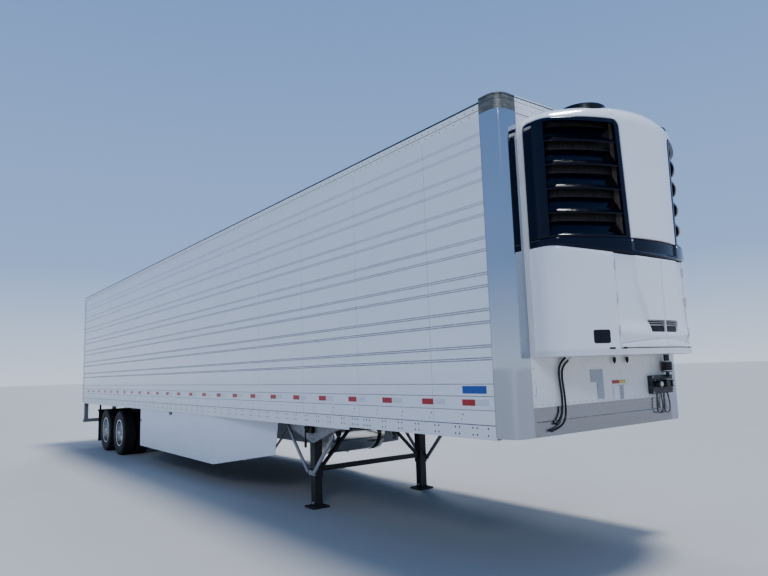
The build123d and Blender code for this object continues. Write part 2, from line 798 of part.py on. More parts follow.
for k in range(knuckle_count):
    z = unit_pan_top + knuckle_low + knuckle_pitch * k
    fixed = (z, z + knuckle_h)
    moving = (z + knuckle_h + unit_gap, z + 2 * knuckle_h + unit_gap)
    unit_door -= rod((hinge_x, unit_seam_y, fixed[0] - unit_gap), (hinge_x, unit_seam_y, fixed[1] + unit_gap), knuckle_r + unit_gap)
    side_panel -= rod((hinge_x, unit_seam_y, moving[0] - unit_gap), (hinge_x, unit_seam_y, moving[1] + unit_gap), knuckle_r + unit_gap)
    side_panel += rod((hinge_x, unit_seam_y, fixed[0]), (hinge_x, unit_seam_y, fixed[1]), knuckle_r)
    side_panel += rod((hinge_x, unit_seam_y, fixed[0]), (hinge_x, unit_seam_y, moving[1]), knuckle_pin_r)
    unit_door += rod((hinge_x, unit_seam_y, moving[0]), (hinge_x, unit_seam_y, moving[1]), knuckle_r)
    unit_door -= rod((hinge_x, unit_seam_y, moving[0] - 1), (hinge_x, unit_seam_y, moving[1] + 1), knuckle_pin_r + running_fit)
slot_points = [(slot_in, slot_low), (slot_out_low, slot_low), (slot_out_high, slot_high), (slot_in, slot_high)]
slot_floor = nose + unit_depth - slot_depth
unit_door -= prism_x(slot_points, slot_floor, nose + through)
unit_side_panels = pair(side_panel)
unit_door_left = unit_door
unit_door_right = mirrored(unit_door)

# Grilles with sloping blades, and the coil behind them
blade_count = 4
blade_pitch = (unit_grille_top - unit_belt_top - unit_gap) / (blade_count + 1)
blade_zs = [unit_belt_top + blade_pitch * k for k in range(blade_count + 1)]
window_low = unit_belt_top + 2 * blade_lip
window_high = unit_grille_top - grille_rim
window_points = [
    (centre_half_low + grille_strip, window_low),
    (grille_out, window_low),
    (grille_out, unit_shoulder - unit_top_corner_r),
    (grille_out - 2 * grille_rim, window_high),
    (centre_half_high, window_high),
]
window = prism_x(window_points, nose + 200, nose + through)
grille = (grille_band & box(nose - 5, nose + through, 0, unit_reach, unit_bottom, unit_crown)) - window
front_axis = nose + unit_depth - unit_front_radius
blade_block = unit_block(blade_inset, 0, unit_bottom) & prism_x(window_points, nose + 200, nose + through)
for z in blade_zs:
    lip = unit_front_radius - blade_inset
    profile = Polyline((lip, z - blade_lip), (lip, z + blade_lip), (lip - 64, z + blade_rise), (lip - 72, z + blade_rise),
                       (lip - 24, z - blade_lip), close=True)
    cone = Pos(front_axis, 0, 0) * revolve(Plane.XZ * make_face(profile), axis=Axis.Z)
    corner = prism_x([(0, z + blade_lip), (blade_cut_low, z + blade_lip), (blade_cut_high, z + blade_rise + 1), (0, z + blade_rise + 1)],
                     nose, nose + through)
    grille += (cone & blade_block) - corner
unit_grilles = pair(grille)
coil_in = 82
coil_t = 25
coil_low = window_low - 15
coil_high = window_high + 15
rib_out = 412
coil_ring = unit_plan(coil_in, 0) - unit_plan(coil_in + coil_t, 0)
coil = extrude(Pos(0, 0, coil_low) * coil_ring, amount=coil_high - coil_low)
coil &= box(nose + 60, nose + through, rib_out, grille_out + 20, coil_low, coil_high)
unit_coils = pair(coil)

# Frame of the unit: back plate, pan, ribs, edge trims and drain stubs
inner = unit_block(unit_skin, 0, unit_bottom + 30)
unit_frame = inner & box(nose, nose + 25, -unit_reach, unit_reach, unit_bottom, unit_crown)
unit_frame += unit_shell & box(nose - 5, nose + through, -unit_reach, unit_reach, unit_bottom, unit_pan_top)
for side in (-1, 1):
    low_y = rib_out - 12 if side > 0 else -rib_out
    unit_frame += inner & box(nose, nose + through, low_y, low_y + 12, unit_belt_top, unit_grille_top + 60)
trim_plane = Plane.YZ.offset(nose)
unit_trim = extrude(trim_plane * unit_outline(-trim_w, unit_bottom), amount=trim_depth)
unit_frame += unit_trim - extrude(trim_plane * unit_outline(0, unit_bottom), amount=trim_depth)
drain_x = nose + drain_x_gap
for y in (100, 310):
    unit_frame += rod((drain_x, y, unit_bottom - 35), (drain_x, y, unit_bottom + 5), 12)
engine_block = box(nose + 120, nose + 470, -400, 400, unit_bottom + 30, 2400)

# Fan guards on the roof of the unit
fan_x = nose + 280
fan_y = 500
fan_r = 210
fan_rim = 15
fan_bar = 6
fan_top = unit_crown + 28
fan_low = unit_shoulder
bar_low = fan_top - 10
guard = rod((fan_x, fan_y, fan_low), (fan_x, fan_y, fan_top), fan_r)
guard -= rod((fan_x, fan_y, fan_low - 5), (fan_x, fan_y, fan_top + 5), fan_r - fan_rim)
guard += rod((fan_x, fan_y, bar_low), (fan_x, fan_y, fan_top), 70)
bar_end = fan_r - fan_rim / 3
guard += box(fan_x - bar_end, fan_x + bar_end, fan_y - fan_bar, fan_y + fan_bar, bar_low, fan_top)
guard += box(fan_x - fan_bar, fan_x + fan_bar, fan_y - bar_end, fan_y + bar_end, bar_low, fan_top)
fan_guards = pair(guard)
well = rod((fan_x, fan_y, fan_low), (fan_x, fan_y, fan_top), fan_r)
unit_roof = unit_roof - well - mirrored(well)

# Coupling box with its sockets and glands, and the separator above it
box_front = nose + 45
box_low = 1425
box_high = 1605
box_mid = post_front_y - 190
box_half = 180
couplings = box(wall_face, box_front, box_mid - box_half - 20, box_mid + box_half, box_low, box_high)
socket_table = (
    (box_mid - 120, 1520, 32, 50),
    (box_mid, 1520, 38, 60),
    (box_mid + 110, 1520, 32, 50),
)
for y, z, radius, reach in socket_table:
    couplings += rod((box_front, y, z), (box_front + reach, y, z), radius)
separator_y = box_mid + 90
separator_x = nose + 52
separator_table = (
    (box_high, box_high + 30, 18),
    (box_high + 30, box_high + 140, 48),
    (box_high + 140, unit_bottom, 27),
)
couplings += box(box_front - 30, separator_x + 30, separator_y - 30, separator_y + 30, box_high - 20, box_high)
for low, high, radius in separator_table:
    couplings += rod((separator_x, separator_y, low), (separator_x, separator_y, high), radius)


# Free hoses: straight runs joined by arcs as large as the runs allow
def hose(name, points, diameter):
    runs = [Vector(*after) - Vector(*before) for before, after in zip(points, points[1:])]
    radii = []
    for before, after in zip(runs, runs[1:]):
        half_turn = math.radians(before.get_angle(after) / 2)
        radii.append(0.45 * min(before.length, after.length) / math.tan(half_turn))
    path = FilletPolyline(*points, radius=radii)
    start = Plane(origin=path @ 0, z_dir=path % 0)
    tube = sweep(start * Circle(diameter / 2), path=path)
    fill = tube.volume / (math.pi * diameter ** 2 / 4 * path.length)
    print(name, "radii", [round(radius) for radius in radii], "runs", [round(run.length) for run in runs])
    print(name, "length", round(path.length), "volume over section times length", round(fill, 4))
    return tube


# Drain hoses, each from a stub under the unit to a clip on the band, as y and z
outer_drain_route = (
    (-640, 1802),
    (-722, 1760),
    (-745, 1660),
    (-722, 1515),
    (-719, 1390),
    (-738, 1306),
    (-797, 1262),
)
inner_drain_route = (
    (-604, 1776),
    (-682, 1737),
    (-706, 1640),
    (-682, 1500),
    (-676, 1372),
    (-692, 1272),
    (-768, 1214),
    (-860, 1197),
)
drain_tubes = []
clips = []
for name, route in (("outer drain", outer_drain_route), ("inner drain", inner_drain_route)):
    points = [(drain_x, y, z) for y, z in route]
    drain_tubes.append(hose(name, points, drain_d))
    exit_run = (Vector(*points[0]) - Vector(*points[1])).normalized()
    stub_end = Vector(*points[0]) + exit_run * ((unit_bottom + 6 - points[0][2]) / exit_run.Z)
    unit_frame += rod(points[0], stub_end, drain_d / 2 - 1)
    end_run = (Vector(*points[-1]) - Vector(*points[-2])).normalized()
    clip_end = Vector(*points[-1]) + end_run * 30
    clip = rod(points[-1], clip_end, drain_d / 2 + 2)
    clip += box(nose, drain_x, clip_end.Y + 4, clip_end.Y + 24, clip_end.Z - 6, clip_end.Z + 10)
    clips.append(clip)
drain_hose_outer, drain_hose_inner = drain_tubes

# Jumper hoses that loop down from the coupling box, as y from its middle and z
inner_loop_route = (
    (-102, 1397),
    (-111, 1352),
    (-116, 1306),
    (-114, 1262),
    (-85, 1230),
    (-40, 1229),
    (-8, 1261),
    (-5, 1304),
    (-11, 1350),
    (-20, 1395),
)
outer_loop_route = (
    (28, 1394),
    (21, 1349),
    (16, 1303),
    (18, 1258),
    (48, 1227),
    (93, 1226),
    (124, 1257),
    (129, 1301),
    (122, 1346),
    (110, 1390),
)
loop_x = nose + 25
loop_tubes = []
for name, route in (("inner loop", inner_loop_route), ("outer loop", outer_loop_route)):
    points = [(loop_x, box_mid + y, z) for y, z in route]
    loop_tubes.append(hose(name, points, loop_d))
    for end, beside in ((points[0], points[1]), (points[-1], points[-2])):
        rise = (Vector(*end) - Vector(*beside)).normalized()
        gland_end = Vector(*end) + rise * ((box_low + 4 - end[2]) / rise.Z)
        couplings += rod(end, gland_end, loop_d / 2 + 3)
jumper_hose_inner, jumper_hose_outer = loop_tubes
nose_couplings = group([couplings] + clips)

# Lamps
lamp_z = rail_bottom + 110
lamps = []
for y in (480, 600, 720):
    lamps.append(rod((tail - 12, y, lamp_z), (tail, y, lamp_z), 48))
    lamps.append(rod((tail - 12, -y, lamp_z), (tail, -y, lamp_z), 48))
marker_y = post_in - 70.5
for y in (-marker_y, -150, 0, 150, marker_y):
    lamps.append(box(tail - 14, tail, y - 30, y + 30, height - 45, height - 20))
red_lamps = group(lamps)

export_step(floor, "parts/floor.step")
export_step(side_wall_left, "parts/side_wall_left.step")
export_step(side_wall_right, "parts/side_wall_right.step")
export_step(roof, "parts/roof.step")
export_step(front_wall, "parts/front_wall.step")
export_step(bottom_rails, "parts/bottom_rails.step")
export_step(top_rails, "parts/top_rails.step")
export_step(corner_posts, "parts/corner_posts.step")
export_step(corner_caps, "parts/corner_caps.step")
export_step(front_top_rail, "parts/front_top_rail.step")
export_step(nose_band, "parts/nose_band.step")
export_step(floor_beams, "parts/floor_beams.step")
export_step(coupler_plate, "parts/coupler_plate.step")
export_step(slide_rails, "parts/slide_rails.step")
export_step(mud_flaps, "parts/mud_flaps.step")
export_step(bogie_sides, "parts/bogie_sides.step")
export_step(bogie_cross_beams, "parts/bogie_cross_beams.step")
export_step(axles, "parts/axles.step")
export_step(trailing_arms, "parts/trailing_arms.step")
export_step(air_springs, "parts/air_springs.step")
export_step(wheel_tyres(axle_xs[0], True), "parts/tyres_front_left.step")
export_step(wheel_tyres(axle_xs[0], False), "parts/tyres_front_right.step")
export_step(wheel_tyres(axle_xs[1], True), "parts/tyres_rear_left.step")
export_step(wheel_tyres(axle_xs[1], False), "parts/tyres_rear_right.step")
export_step(wheel_rims(axle_xs[0], True), "parts/rims_front_left.step")
export_step(wheel_rims(axle_xs[0], False), "parts/rims_front_right.step")
export_step(wheel_rims(axle_xs[1], True), "parts/rims_rear_left.step")
export_step(wheel_rims(axle_xs[1], False), "parts/rims_rear_right.step")
export_step(rear_posts, "parts/rear_posts.step")
export_step(rear_cross_rails, "parts/rear_cross_rails.step")
export_step(rear_guard, "parts/rear_guard.step")
export_step(dock_bumpers, "parts/dock_bumpers.step")
export_step(rear_door_left, "parts/rear_door_left.step")
export_step(rear_door_right, "parts/rear_door_right.step")
export_step(door_hardware_left, "parts/door_hardware_left.step")
export_step(door_hardware_right, "parts/door_hardware_right.step")
export_step(landing_legs, "parts/landing_legs.step")
export_step(landing_feet, "parts/landing_feet.step")
export_step(landing_braces, "parts/landing_braces.step")
export_step(fuel_tank, "parts/fuel_tank.step")
export_step(tank_straps, "parts/tank_straps.step")
export_step(side_skirts, "parts/side_skirts.step")
export_step(skirt_brackets, "parts/skirt_brackets.step")
export_step(unit_frame, "parts/unit_frame.step")
export_step(unit_side_panels, "parts/unit_side_panels.step")
export_step(unit_belt, "parts/unit_belt.step")
export_step(unit_centre_panel, "parts/unit_centre_panel.step")
export_step(unit_grilles, "parts/unit_grilles.step")
export_step(unit_coils, "parts/unit_coils.step")
export_step(unit_roof, "parts/unit_roof.step")
export_step(fan_guards, "parts/fan_guards.step")
export_step(engine_block, "parts/engine_block.step")
export_step(unit_door_left, "parts/unit_door_left.step")
export_step(unit_door_right, "parts/unit_door_right.step")
export_step(nose_couplings, "parts/nose_couplings.step")
export_step(drain_hose_outer, "parts/drain_hose_outer.step")
export_step(drain_hose_inner, "parts/drain_hose_inner.step")
export_step(jumper_hose_inner, "parts/jumper_hose_inner.step")
export_step(jumper_hose_outer, "parts/jumper_hose_outer.step")
export_step(red_lamps, "parts/red_lamps.step")
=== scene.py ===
import bpy
import math
import random
from mathutils import Matrix, Vector


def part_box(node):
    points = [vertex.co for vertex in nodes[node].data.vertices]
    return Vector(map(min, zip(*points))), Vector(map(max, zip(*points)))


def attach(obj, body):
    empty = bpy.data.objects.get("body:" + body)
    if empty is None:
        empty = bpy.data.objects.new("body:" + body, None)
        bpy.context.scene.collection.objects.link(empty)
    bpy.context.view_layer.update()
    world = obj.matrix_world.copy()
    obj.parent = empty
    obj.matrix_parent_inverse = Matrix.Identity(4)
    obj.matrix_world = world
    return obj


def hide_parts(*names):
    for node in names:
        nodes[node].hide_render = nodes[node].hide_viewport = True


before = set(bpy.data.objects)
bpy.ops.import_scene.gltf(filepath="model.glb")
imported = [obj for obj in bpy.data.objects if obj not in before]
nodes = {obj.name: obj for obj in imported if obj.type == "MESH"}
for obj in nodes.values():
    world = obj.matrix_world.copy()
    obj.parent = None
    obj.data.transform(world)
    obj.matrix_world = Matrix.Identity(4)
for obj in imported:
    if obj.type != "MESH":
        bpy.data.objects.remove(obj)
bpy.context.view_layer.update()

# Places read from the frame, in metres: x forward, y to the road side, z up
X_AXIS, Y_AXIS, Z_AXIS = (1, 0, 0), (0, 1, 0), (0, 0, 1)
POSTS_MIN, POSTS_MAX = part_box("corner_posts")
WALL_MIN, WALL_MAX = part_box("side_wall_left")
BAND_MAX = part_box("nose_band")[1]
FEET_MIN, FEET_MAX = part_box("landing_feet")
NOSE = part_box("front_top_rail")[1].x
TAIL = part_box("rear_door_left")[0].x
HALF = POSTS_MAX.y
RAIL_LOW = POSTS_MIN.z
RAIL_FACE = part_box("bottom_rails")[1].y
SKIN, LINER = WALL_MAX.y, WALL_MIN.y
WALL_LOW, WALL_HIGH = WALL_MIN.z, WALL_MAX.z
POST_REAR, FRAME_FRONT = WALL_MAX.x, WALL_MIN.x
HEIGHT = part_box("top_rails")[1].z
CAP_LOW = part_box("corner_caps")[0].z
FRONT_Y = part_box("front_wall")[1].y
WHEEL_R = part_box("tyres_front_left")[1].z / 2
LEG_X = (FEET_MIN.x + FEET_MAX.x) / 2


def show(name, data):
    made = bpy.data.objects.new(name, data)
    bpy.context.scene.collection.objects.link(made)
    return made


# Camera at the place the photograph was taken from
EYE = (11.314, -5.234, 1.750)
YAW, PITCH, ROLL = math.radians(143.037), math.radians(7.425), math.radians(-1.919)
FOCAL, FILM, FAR_CLIP = 29.43, 36, 600


def make_camera():
    ahead = Vector((math.cos(PITCH) * math.cos(YAW), math.cos(PITCH) * math.sin(YAW), math.sin(PITCH)))
    right = ahead.cross(Vector(Z_AXIS)).normalized()
    up = right.cross(ahead)
    side = right * math.cos(ROLL) + up * math.sin(ROLL)
    top = up * math.cos(ROLL) - right * math.sin(ROLL)
    camera = show("camera", bpy.data.cameras.new("camera"))
    camera.data.sensor_width = FILM
    camera.data.lens = FOCAL
    camera.data.clip_end = FAR_CLIP
    camera.matrix_world = Matrix.Translation(EYE) @ Matrix((side, top, -ahead)).transposed().to_4x4()
    bpy.context.scene.camera = camera


make_camera()

# Materials, all in the object's own coordinates, kept by name
looks = {}
COAT_ROUGH = 0.06
CLOUD_LOW, CLOUD_HIGH = 0.3, 0.7
CHIP_EDGE = 0.06
DENT_SIZE, DENT_DEPTH, GRAIN_DEPTH = 1.1, 0.02, 0.0006
GLOW = 0.15


def material(name, color, rough, metal=0.0, coat=0.0, vary=0.04, spread=0.06, size=1.5, stretch=(1, 1, 1),
             grain=0.0, grain_size=400, dent=0.0, dust_and_shade=None, chips=None, emission=None, specular=0.5):
    made = bpy.data.materials.new(name)
    made.use_nodes = True
    tree = made.node_tree
    shader = tree.nodes["Principled BSDF"]
    shader.inputs["Metallic"].default_value = metal
    shader.inputs["Coat Weight"].default_value = coat
    shader.inputs["Coat Roughness"].default_value = COAT_ROUGH
    shader.inputs["Specular IOR Level"].default_value = specular

    def node(kind, values, links, **settings):
        new = tree.nodes.new(kind)
        for key, value in settings.items():
            setattr(new, key, value)
        for key, value in values.items():
            new.inputs[key].default_value = value
        for key, source in links.items():
            tree.links.new(source, new.inputs[key])
        return new.outputs

    def noise(source, scale, detail, roughness=0.5):
        values = {"Scale": scale, "Detail": detail, "Roughness": roughness}
        return node("ShaderNodeTexNoise", values, {"Vector": source})["Fac"]

    def remap(source, low, high, start, end):
        values = {"From Min": low, "From Max": high, "To Min": start, "To Max": end}
        return node("ShaderNodeMapRange", values, {"Value": source})["Result"]

    def cover(under, share, over):
        links = {"Factor": share, "A": under}
        return node("ShaderNodeMix", {"B": (*over, 1)}, links, data_type="RGBA")["Result"]

    own = node("ShaderNodeTexCoord", {}, {})["Object"]
    place = node("ShaderNodeMapping", {"Scale": stretch}, {"Vector": own})["Vector"]
    tone = remap(noise(place, size, 5.0, 0.6), CLOUD_LOW, CLOUD_HIGH, 1 - vary, 1 + vary)
    last = node("ShaderNodeVectorMath", {0: color}, {"Scale": tone}, operation="SCALE")["Vector"]
    gloss = remap(noise(place, size * 4, 3.0), CLOUD_LOW, CLOUD_HIGH,
                  max(0.02, rough - spread), min(1.0, rough + spread))
    if chips:
        chip_color, chip_share, chip_size = chips
        spots = noise(own, chip_size, 6.0, 0.7)
        last = cover(last, remap(spots, 1 - chip_share, 1 - chip_share + CHIP_EDGE, 0.0, 1.0), chip_color)
    # Colour that fades in towards the bottom: road dust on most looks, painted shade on the pressed lines
    if dust_and_shade:
        dust_and_shade_color, low, high, amount = dust_and_shade
        level = node("ShaderNodeSeparateXYZ", {}, {"Vector": own})["Z"]
        fall = remap(level, low, high, amount, 0.0)
        mist = noise(place, size * 6, 6.0, 0.65)
        share = node("ShaderNodeMath", {}, {0: fall, 1: mist}, operation="MULTIPLY", use_clamp=True)["Value"]
        last = cover(last, share, dust_and_shade_color)
        gloss = node("ShaderNodeMath", {1: 0.5}, {0: share, 2: gloss}, operation="MULTIPLY_ADD",
                     use_clamp=True)["Value"]
    tree.links.new(last, shader.inputs["Base Color"])
    tree.links.new(gloss, shader.inputs["Roughness"])
    normal = {}
    for strength, scale, depth in ((dent, DENT_SIZE, DENT_DEPTH), (grain, grain_size, GRAIN_DEPTH)):
        if strength:
            wave = noise(place, scale, 2.0)
            values = {"Strength": strength, "Distance": depth}
            bump = node("ShaderNodeBump", values, {"Height": wave, **normal})
            normal = {"Normal": bump["Normal"]}
    if normal:
        tree.links.new(normal["Normal"], shader.inputs["Normal"])
    if emission:
        shader.inputs["Emission Color"].default_value = (*emission, 1)
        shader.inputs["Emission Strength"].default_value = GLOW
    looks[name] = made


ROAD = (0.33, 0.30, 0.26)
# Painted shade colour, laid on the lower pressed lines
SHADE = (0.30, 0.31, 0.33)
RUBBER = (0.010, 0.010, 0.011)

# White sheets, rails and panels
material("white_skin", (0.80, 0.815, 0.83), 0.16, coat=0.6, vary=0.015, spread=0.05, size=0.7, dent=0.25,
         dust_and_shade=(ROAD, 1.2, 1.75, 0.16))
# Pressed lines: painted shade in the grooves, darker on the lower lines
material("groove_shade", (0.68, 0.69, 0.71), 0.3, coat=0.3, vary=0.06, size=3, dust_and_shade=(SHADE, 2.1, 3.7, 1.5))
material("seam_shade", (0.42, 0.43, 0.46), 0.3, coat=0.3, vary=0.15, size=9)
material("white_rail", (0.82, 0.825, 0.83), 0.32, coat=0.2, vary=0.02, size=2.0, grain=0.15,
         dust_and_shade=(ROAD, 1.05, 1.45, 0.25))
material("white_wall", (0.80, 0.80, 0.79), 0.3, coat=0.3, vary=0.025, size=2.5, grain=0.1, grain_size=250,
         dust_and_shade=(ROAD, 1.2, 1.8, 0.18))
material("liner", (0.80, 0.81, 0.80), 0.42, vary=0.03, size=3.0, grain=0.3, grain_size=90)
material("skirt_white", (0.72, 0.755, 0.80), 0.38, coat=0.15, vary=0.03, size=1.6, grain=0.15, dent=0.2,
         dust_and_shade=(ROAD, 0.3, 0.9, 0.3))
material("gel_white", (0.84, 0.845, 0.85), 0.14, coat=0.8, vary=0.012, spread=0.04, size=2.0, dent=0.04)
material("pan_white", (0.74, 0.74, 0.73), 0.4, coat=0.2, vary=0.04, size=4)

# Bright and dull metals
material("mirror", (0.50, 0.53, 0.58), 0.06, metal=1.0, vary=0.02, spread=0.03, size=2.0, stretch=(1, 1, 0.2),
         dent=0.12, dust_and_shade=(ROAD, 1.1, 1.6, 0.12))
material("brushed", (0.40, 0.40, 0.41), 0.24, metal=1.0, vary=0.05, spread=0.08, size=4.0,
         stretch=(0.05, 0.05, 1), grain=0.35, grain_size=900, dust_and_shade=(ROAD, 1.1, 1.5, 0.2))
material("cast_alu", (0.215, 0.205, 0.18), 0.46, metal=0.55, vary=0.30, size=16, grain=0.5, grain_size=260,
         chips=((0.46, 0.44, 0.40), 0.42, 60))
material("cast_grey", (0.075, 0.077, 0.080), 0.36, metal=0.6, vary=0.3, size=14, grain=0.4, grain_size=300,
         chips=((0.42, 0.42, 0.41), 0.38, 30))
material("mill_alu", (0.47, 0.48, 0.49), 0.4, metal=1.0, vary=0.1, size=6, grain=0.25,
         dust_and_shade=(ROAD, 1.0, 1.4, 0.5))
material("floor_alu", (0.55, 0.56, 0.57), 0.36, metal=0.95, vary=0.1, size=3, stretch=(0.3, 3, 1), grain=0.3)
# Rims and tank take warm tints: painted reflection of brown ground in place of the blue sky
material("rim_alu", (0.92, 0.91, 0.89), 0.15, metal=1.0, vary=0.04, spread=0.06, size=7,
         dust_and_shade=(ROAD, 0.0, 1.1, 0.22))
material("tank_alu", (0.90, 0.87, 0.82), 0.19, metal=1.0, vary=0.06, spread=0.06, size=5, dent=0.1)
material("bright", (0.83, 0.84, 0.85), 0.1, metal=1.0, vary=0.03, spread=0.04, size=12, grain=0.05)
material("galvanised", (0.34, 0.355, 0.37), 0.46, metal=0.6, vary=0.16, size=16, grain=0.3,
         grain_size=120, dust_and_shade=(ROAD, 0.1, 1.3, 0.3))
material("zinc", (0.56, 0.57, 0.58), 0.34, metal=0.9, vary=0.12, size=18, grain=0.25, grain_size=160)
material("rivet_grey", (0.11, 0.115, 0.12), 0.35, metal=0.6, vary=0.2, size=14)
material("rivet_pale", (0.36, 0.37, 0.39), 0.32, metal=0.7, vary=0.15, size=14)
material("chassis", (0.008, 0.008, 0.010), 0.38, vary=0.25, spread=0.12, size=7, grain=0.35, grain_size=300,
         dust_and_shade=(ROAD, 0.0, 1.2, 0.14), chips=((0.06, 0.05, 0.045), 0.30, 55))
material("engine_grey", (0.09, 0.095, 0.10), 0.55, vary=0.25, size=12, grain=0.5, grain_size=90)
# Coil looks: a lighter copy, as painted light where the coil shows at the ends of the openings, and the coil's
# dark brown deepened to near black, as painted shade inside the unit
material("coil_side", (0.13, 0.108, 0.096), 0.5, vary=0.8, size=60, grain=0.6, grain_size=300)
material("coil_painted_shade", (0.034, 0.030, 0.031), 0.5, metal=0.3, vary=0.5, size=60, stretch=(1, 1, 0.15),
         grain=0.8, grain_size=500)

# Rubber and plastic
material("rubber", RUBBER, 0.55, vary=0.2, size=10, grain=0.4, grain_size=240, dust_and_shade=(ROAD, 0.0, 0.8, 0.14))
material("tyre_rubber", RUBBER, 0.6, vary=0.2, spread=0.1, size=9, grain=0.5, grain_size=320,
         dust_and_shade=(ROAD, 0.0, 0.6, 0.12))
material("hose_black", (0.012, 0.012, 0.013), 0.34, vary=0.2, size=20, grain=0.2, grain_size=300)
# Dark seal colour, also laid as painted shade and painted shadow lines
material("seal_and_shade_dark", (0.035, 0.036, 0.04), 0.5, vary=0.2, size=6)
material("gel_grey", (0.16, 0.165, 0.17), 0.2, coat=0.3, vary=0.04, size=5)
material("gel_dark", (0.0015, 0.0035, 0.016), 0.10, coat=0.25, vary=0.2, spread=0.04, size=5, specular=0.35)
material("blade_dark", (0.001, 0.002, 0.010), 0.16, coat=0.2, vary=0.2, size=5, specular=0.3)
material("black_plastic", (0.006, 0.006, 0.008), 0.34, vary=0.2, size=14, grain=0.4, grain_size=500)

# Tape, lenses and plain labels
material("red_tape", (0.42, 0.010, 0.016), 0.26, coat=0.6, vary=0.12, size=60, grain=0.6, grain_size=700)
material("silver_tape", (0.63, 0.66, 0.68), 0.28, coat=0.6, vary=0.05, size=60, grain=0.6, grain_size=700)
material("red_lens", (0.40, 0.008, 0.008), 0.12, coat=0.9, vary=0.1, size=40, emission=(0.5, 0.01, 0.01))
material("amber_lens", (0.55, 0.16, 0.01), 0.14, coat=0.9, vary=0.1, size=40, emission=(0.5, 0.15, 0.01))
material("blue_label", (0.012, 0.085, 0.36), 0.28, coat=0.5, vary=0.06, size=40)
material("white_label", (0.78, 0.79, 0.80), 0.3, coat=0.4, vary=0.03, size=30)
material("grey_label", (0.38, 0.43, 0.47), 0.34, coat=0.3, vary=0.06, size=30)
material("yellow_label", (0.62, 0.52, 0.12), 0.34, coat=0.3, vary=0.06, size=30)
material("red_label", (0.42, 0.05, 0.05), 0.34, coat=0.3, vary=0.06, size=30)


# Mesh building: one Shape gathers the faces of one joined piece
SINK = 0.0005
EDGE_ANGLE = math.radians(40)


def circle(count, radius=1.0, start=0.0):
    turns = [2 * math.pi * (k + start) / count for k in range(count)]
    return [(radius * math.cos(turn), radius * math.sin(turn)) for turn in turns]


class Shape:
    def __init__(self):
        self.verts = []
        self.faces = []
        self.kinds = []
        self.kind = 0

    def add(self, verts, faces):
        start = len(self.verts)
        self.verts += [Vector(v) for v in verts]
        self.faces += [[start + i for i in face] for face in faces]
        self.kinds += [self.kind] * len(faces)

    def box(self, x0, x1, y0, y1, z0, z1):
        self.add([(x, y, z) for z in (z0, z1) for y in (y0, y1) for x in (x0, x1)],
                 [(0, 2, 3, 1), (4, 5, 7, 6), (0, 1, 5, 4), (2, 6, 7, 3), (0, 4, 6, 2), (1, 3, 7, 5)])

    def rings(self, rings, closed=False):
        count = len(rings[0])
        faces = []
        last = len(rings) if closed else len(rings) - 1
        for r in range(last):
            here, there = r * count, (r + 1) % len(rings) * count
            for i in range(count):
                j = (i + 1) % count
                faces.append((here + i, here + j, there + j, there + i))
        if not closed:
            faces.append(tuple(range(count - 1, -1, -1)))
            faces.append(tuple(range((len(rings) - 1) * count, len(rings) * count)))
        self.add([v for ring in rings for v in ring], faces)

    def lathe(self, profile, centre, axis, steps=32, closed=False):
        turn = Vector(axis).normalized().to_track_quat("Z", "Y").to_matrix()
        self.rings([[Vector(centre) + turn @ Vector((a, b, ahead)) for a, b in circle(steps, radius)]
                    for ahead, radius in profile], closed)

    def tube(self, path, radius, sides=10):
        points = [Vector(p) for p in path]
        side = (points[1] - points[0]).normalized().orthogonal().normalized()
        rings = []
        for i, point in enumerate(points):
            ahead = (points[min(i + 1, len(points) - 1)] - points[max(i - 1, 0)]).normalized()
            side = (side - ahead * side.dot(ahead)).normalized()
            other = ahead.cross(side)
            rings.append([point + side * a + other * b for a, b in circle(sides, radius)])
        self.rings(rings)

    def bolt(self, centre, axis, radius, high, sides=6):
        self.lathe([(0, radius), (high * 0.85, radius), (high, radius * 0.8)], centre, axis, sides)

    def rivet(self, centre, axis, radius, high, sides=8):
        self.lathe([(-SINK, radius), (high * 0.55, radius * 0.8), (high, radius * 0.3)], centre, axis, sides)

    def mirrored(self):
        other = Shape()
        other.verts = [Vector((v.x, -v.y, v.z)) for v in self.verts]
        other.faces = [face[::-1] for face in self.faces]
        other.kinds = list(self.kinds)
        return other

    def on_side(self, side):
        return self if side > 0 else self.mirrored()

    def both(self):
        other = self.mirrored()
        start = len(self.verts)
        self.verts += other.verts
        self.faces += [[start + i for i in face] for face in other.faces]
        self.kinds += other.kinds
        return self

    def piece(self, name, finish, slot, body="trailer", smooth=35, bevel=0.0, segments=2, replaces=()):
        mesh = bpy.data.meshes.new(name)
        mesh.from_pydata([tuple(v) for v in self.verts], [], self.faces)
        mesh.polygons.foreach_set("material_index", self.kinds)
        mesh.polygons.foreach_set("use_smooth", [True] * len(self.faces))
        mesh.update()
        mesh.set_sharp_from_angle(angle=math.radians(smooth))
        for look in finish.split():
            mesh.materials.append(looks[look])
        made = show(name, mesh)
        if bevel:
            soften(made, bevel, segments)
        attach(made, body)
        if replaces:
            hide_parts(*replaces)
        return made


def soften(obj, width, segments=2):
    mod = obj.modifiers.new("soft_edges", "BEVEL")
    mod.width = width
    mod.segments = segments
    mod.limit_method = "ANGLE"
    mod.angle_limit = EDGE_ANGLE
    mod.harden_normals = False


def along(start, stop, pitch):
    place = start
    while (place < stop) if pitch > 0 else (place > stop):
        yield place
        place += pitch


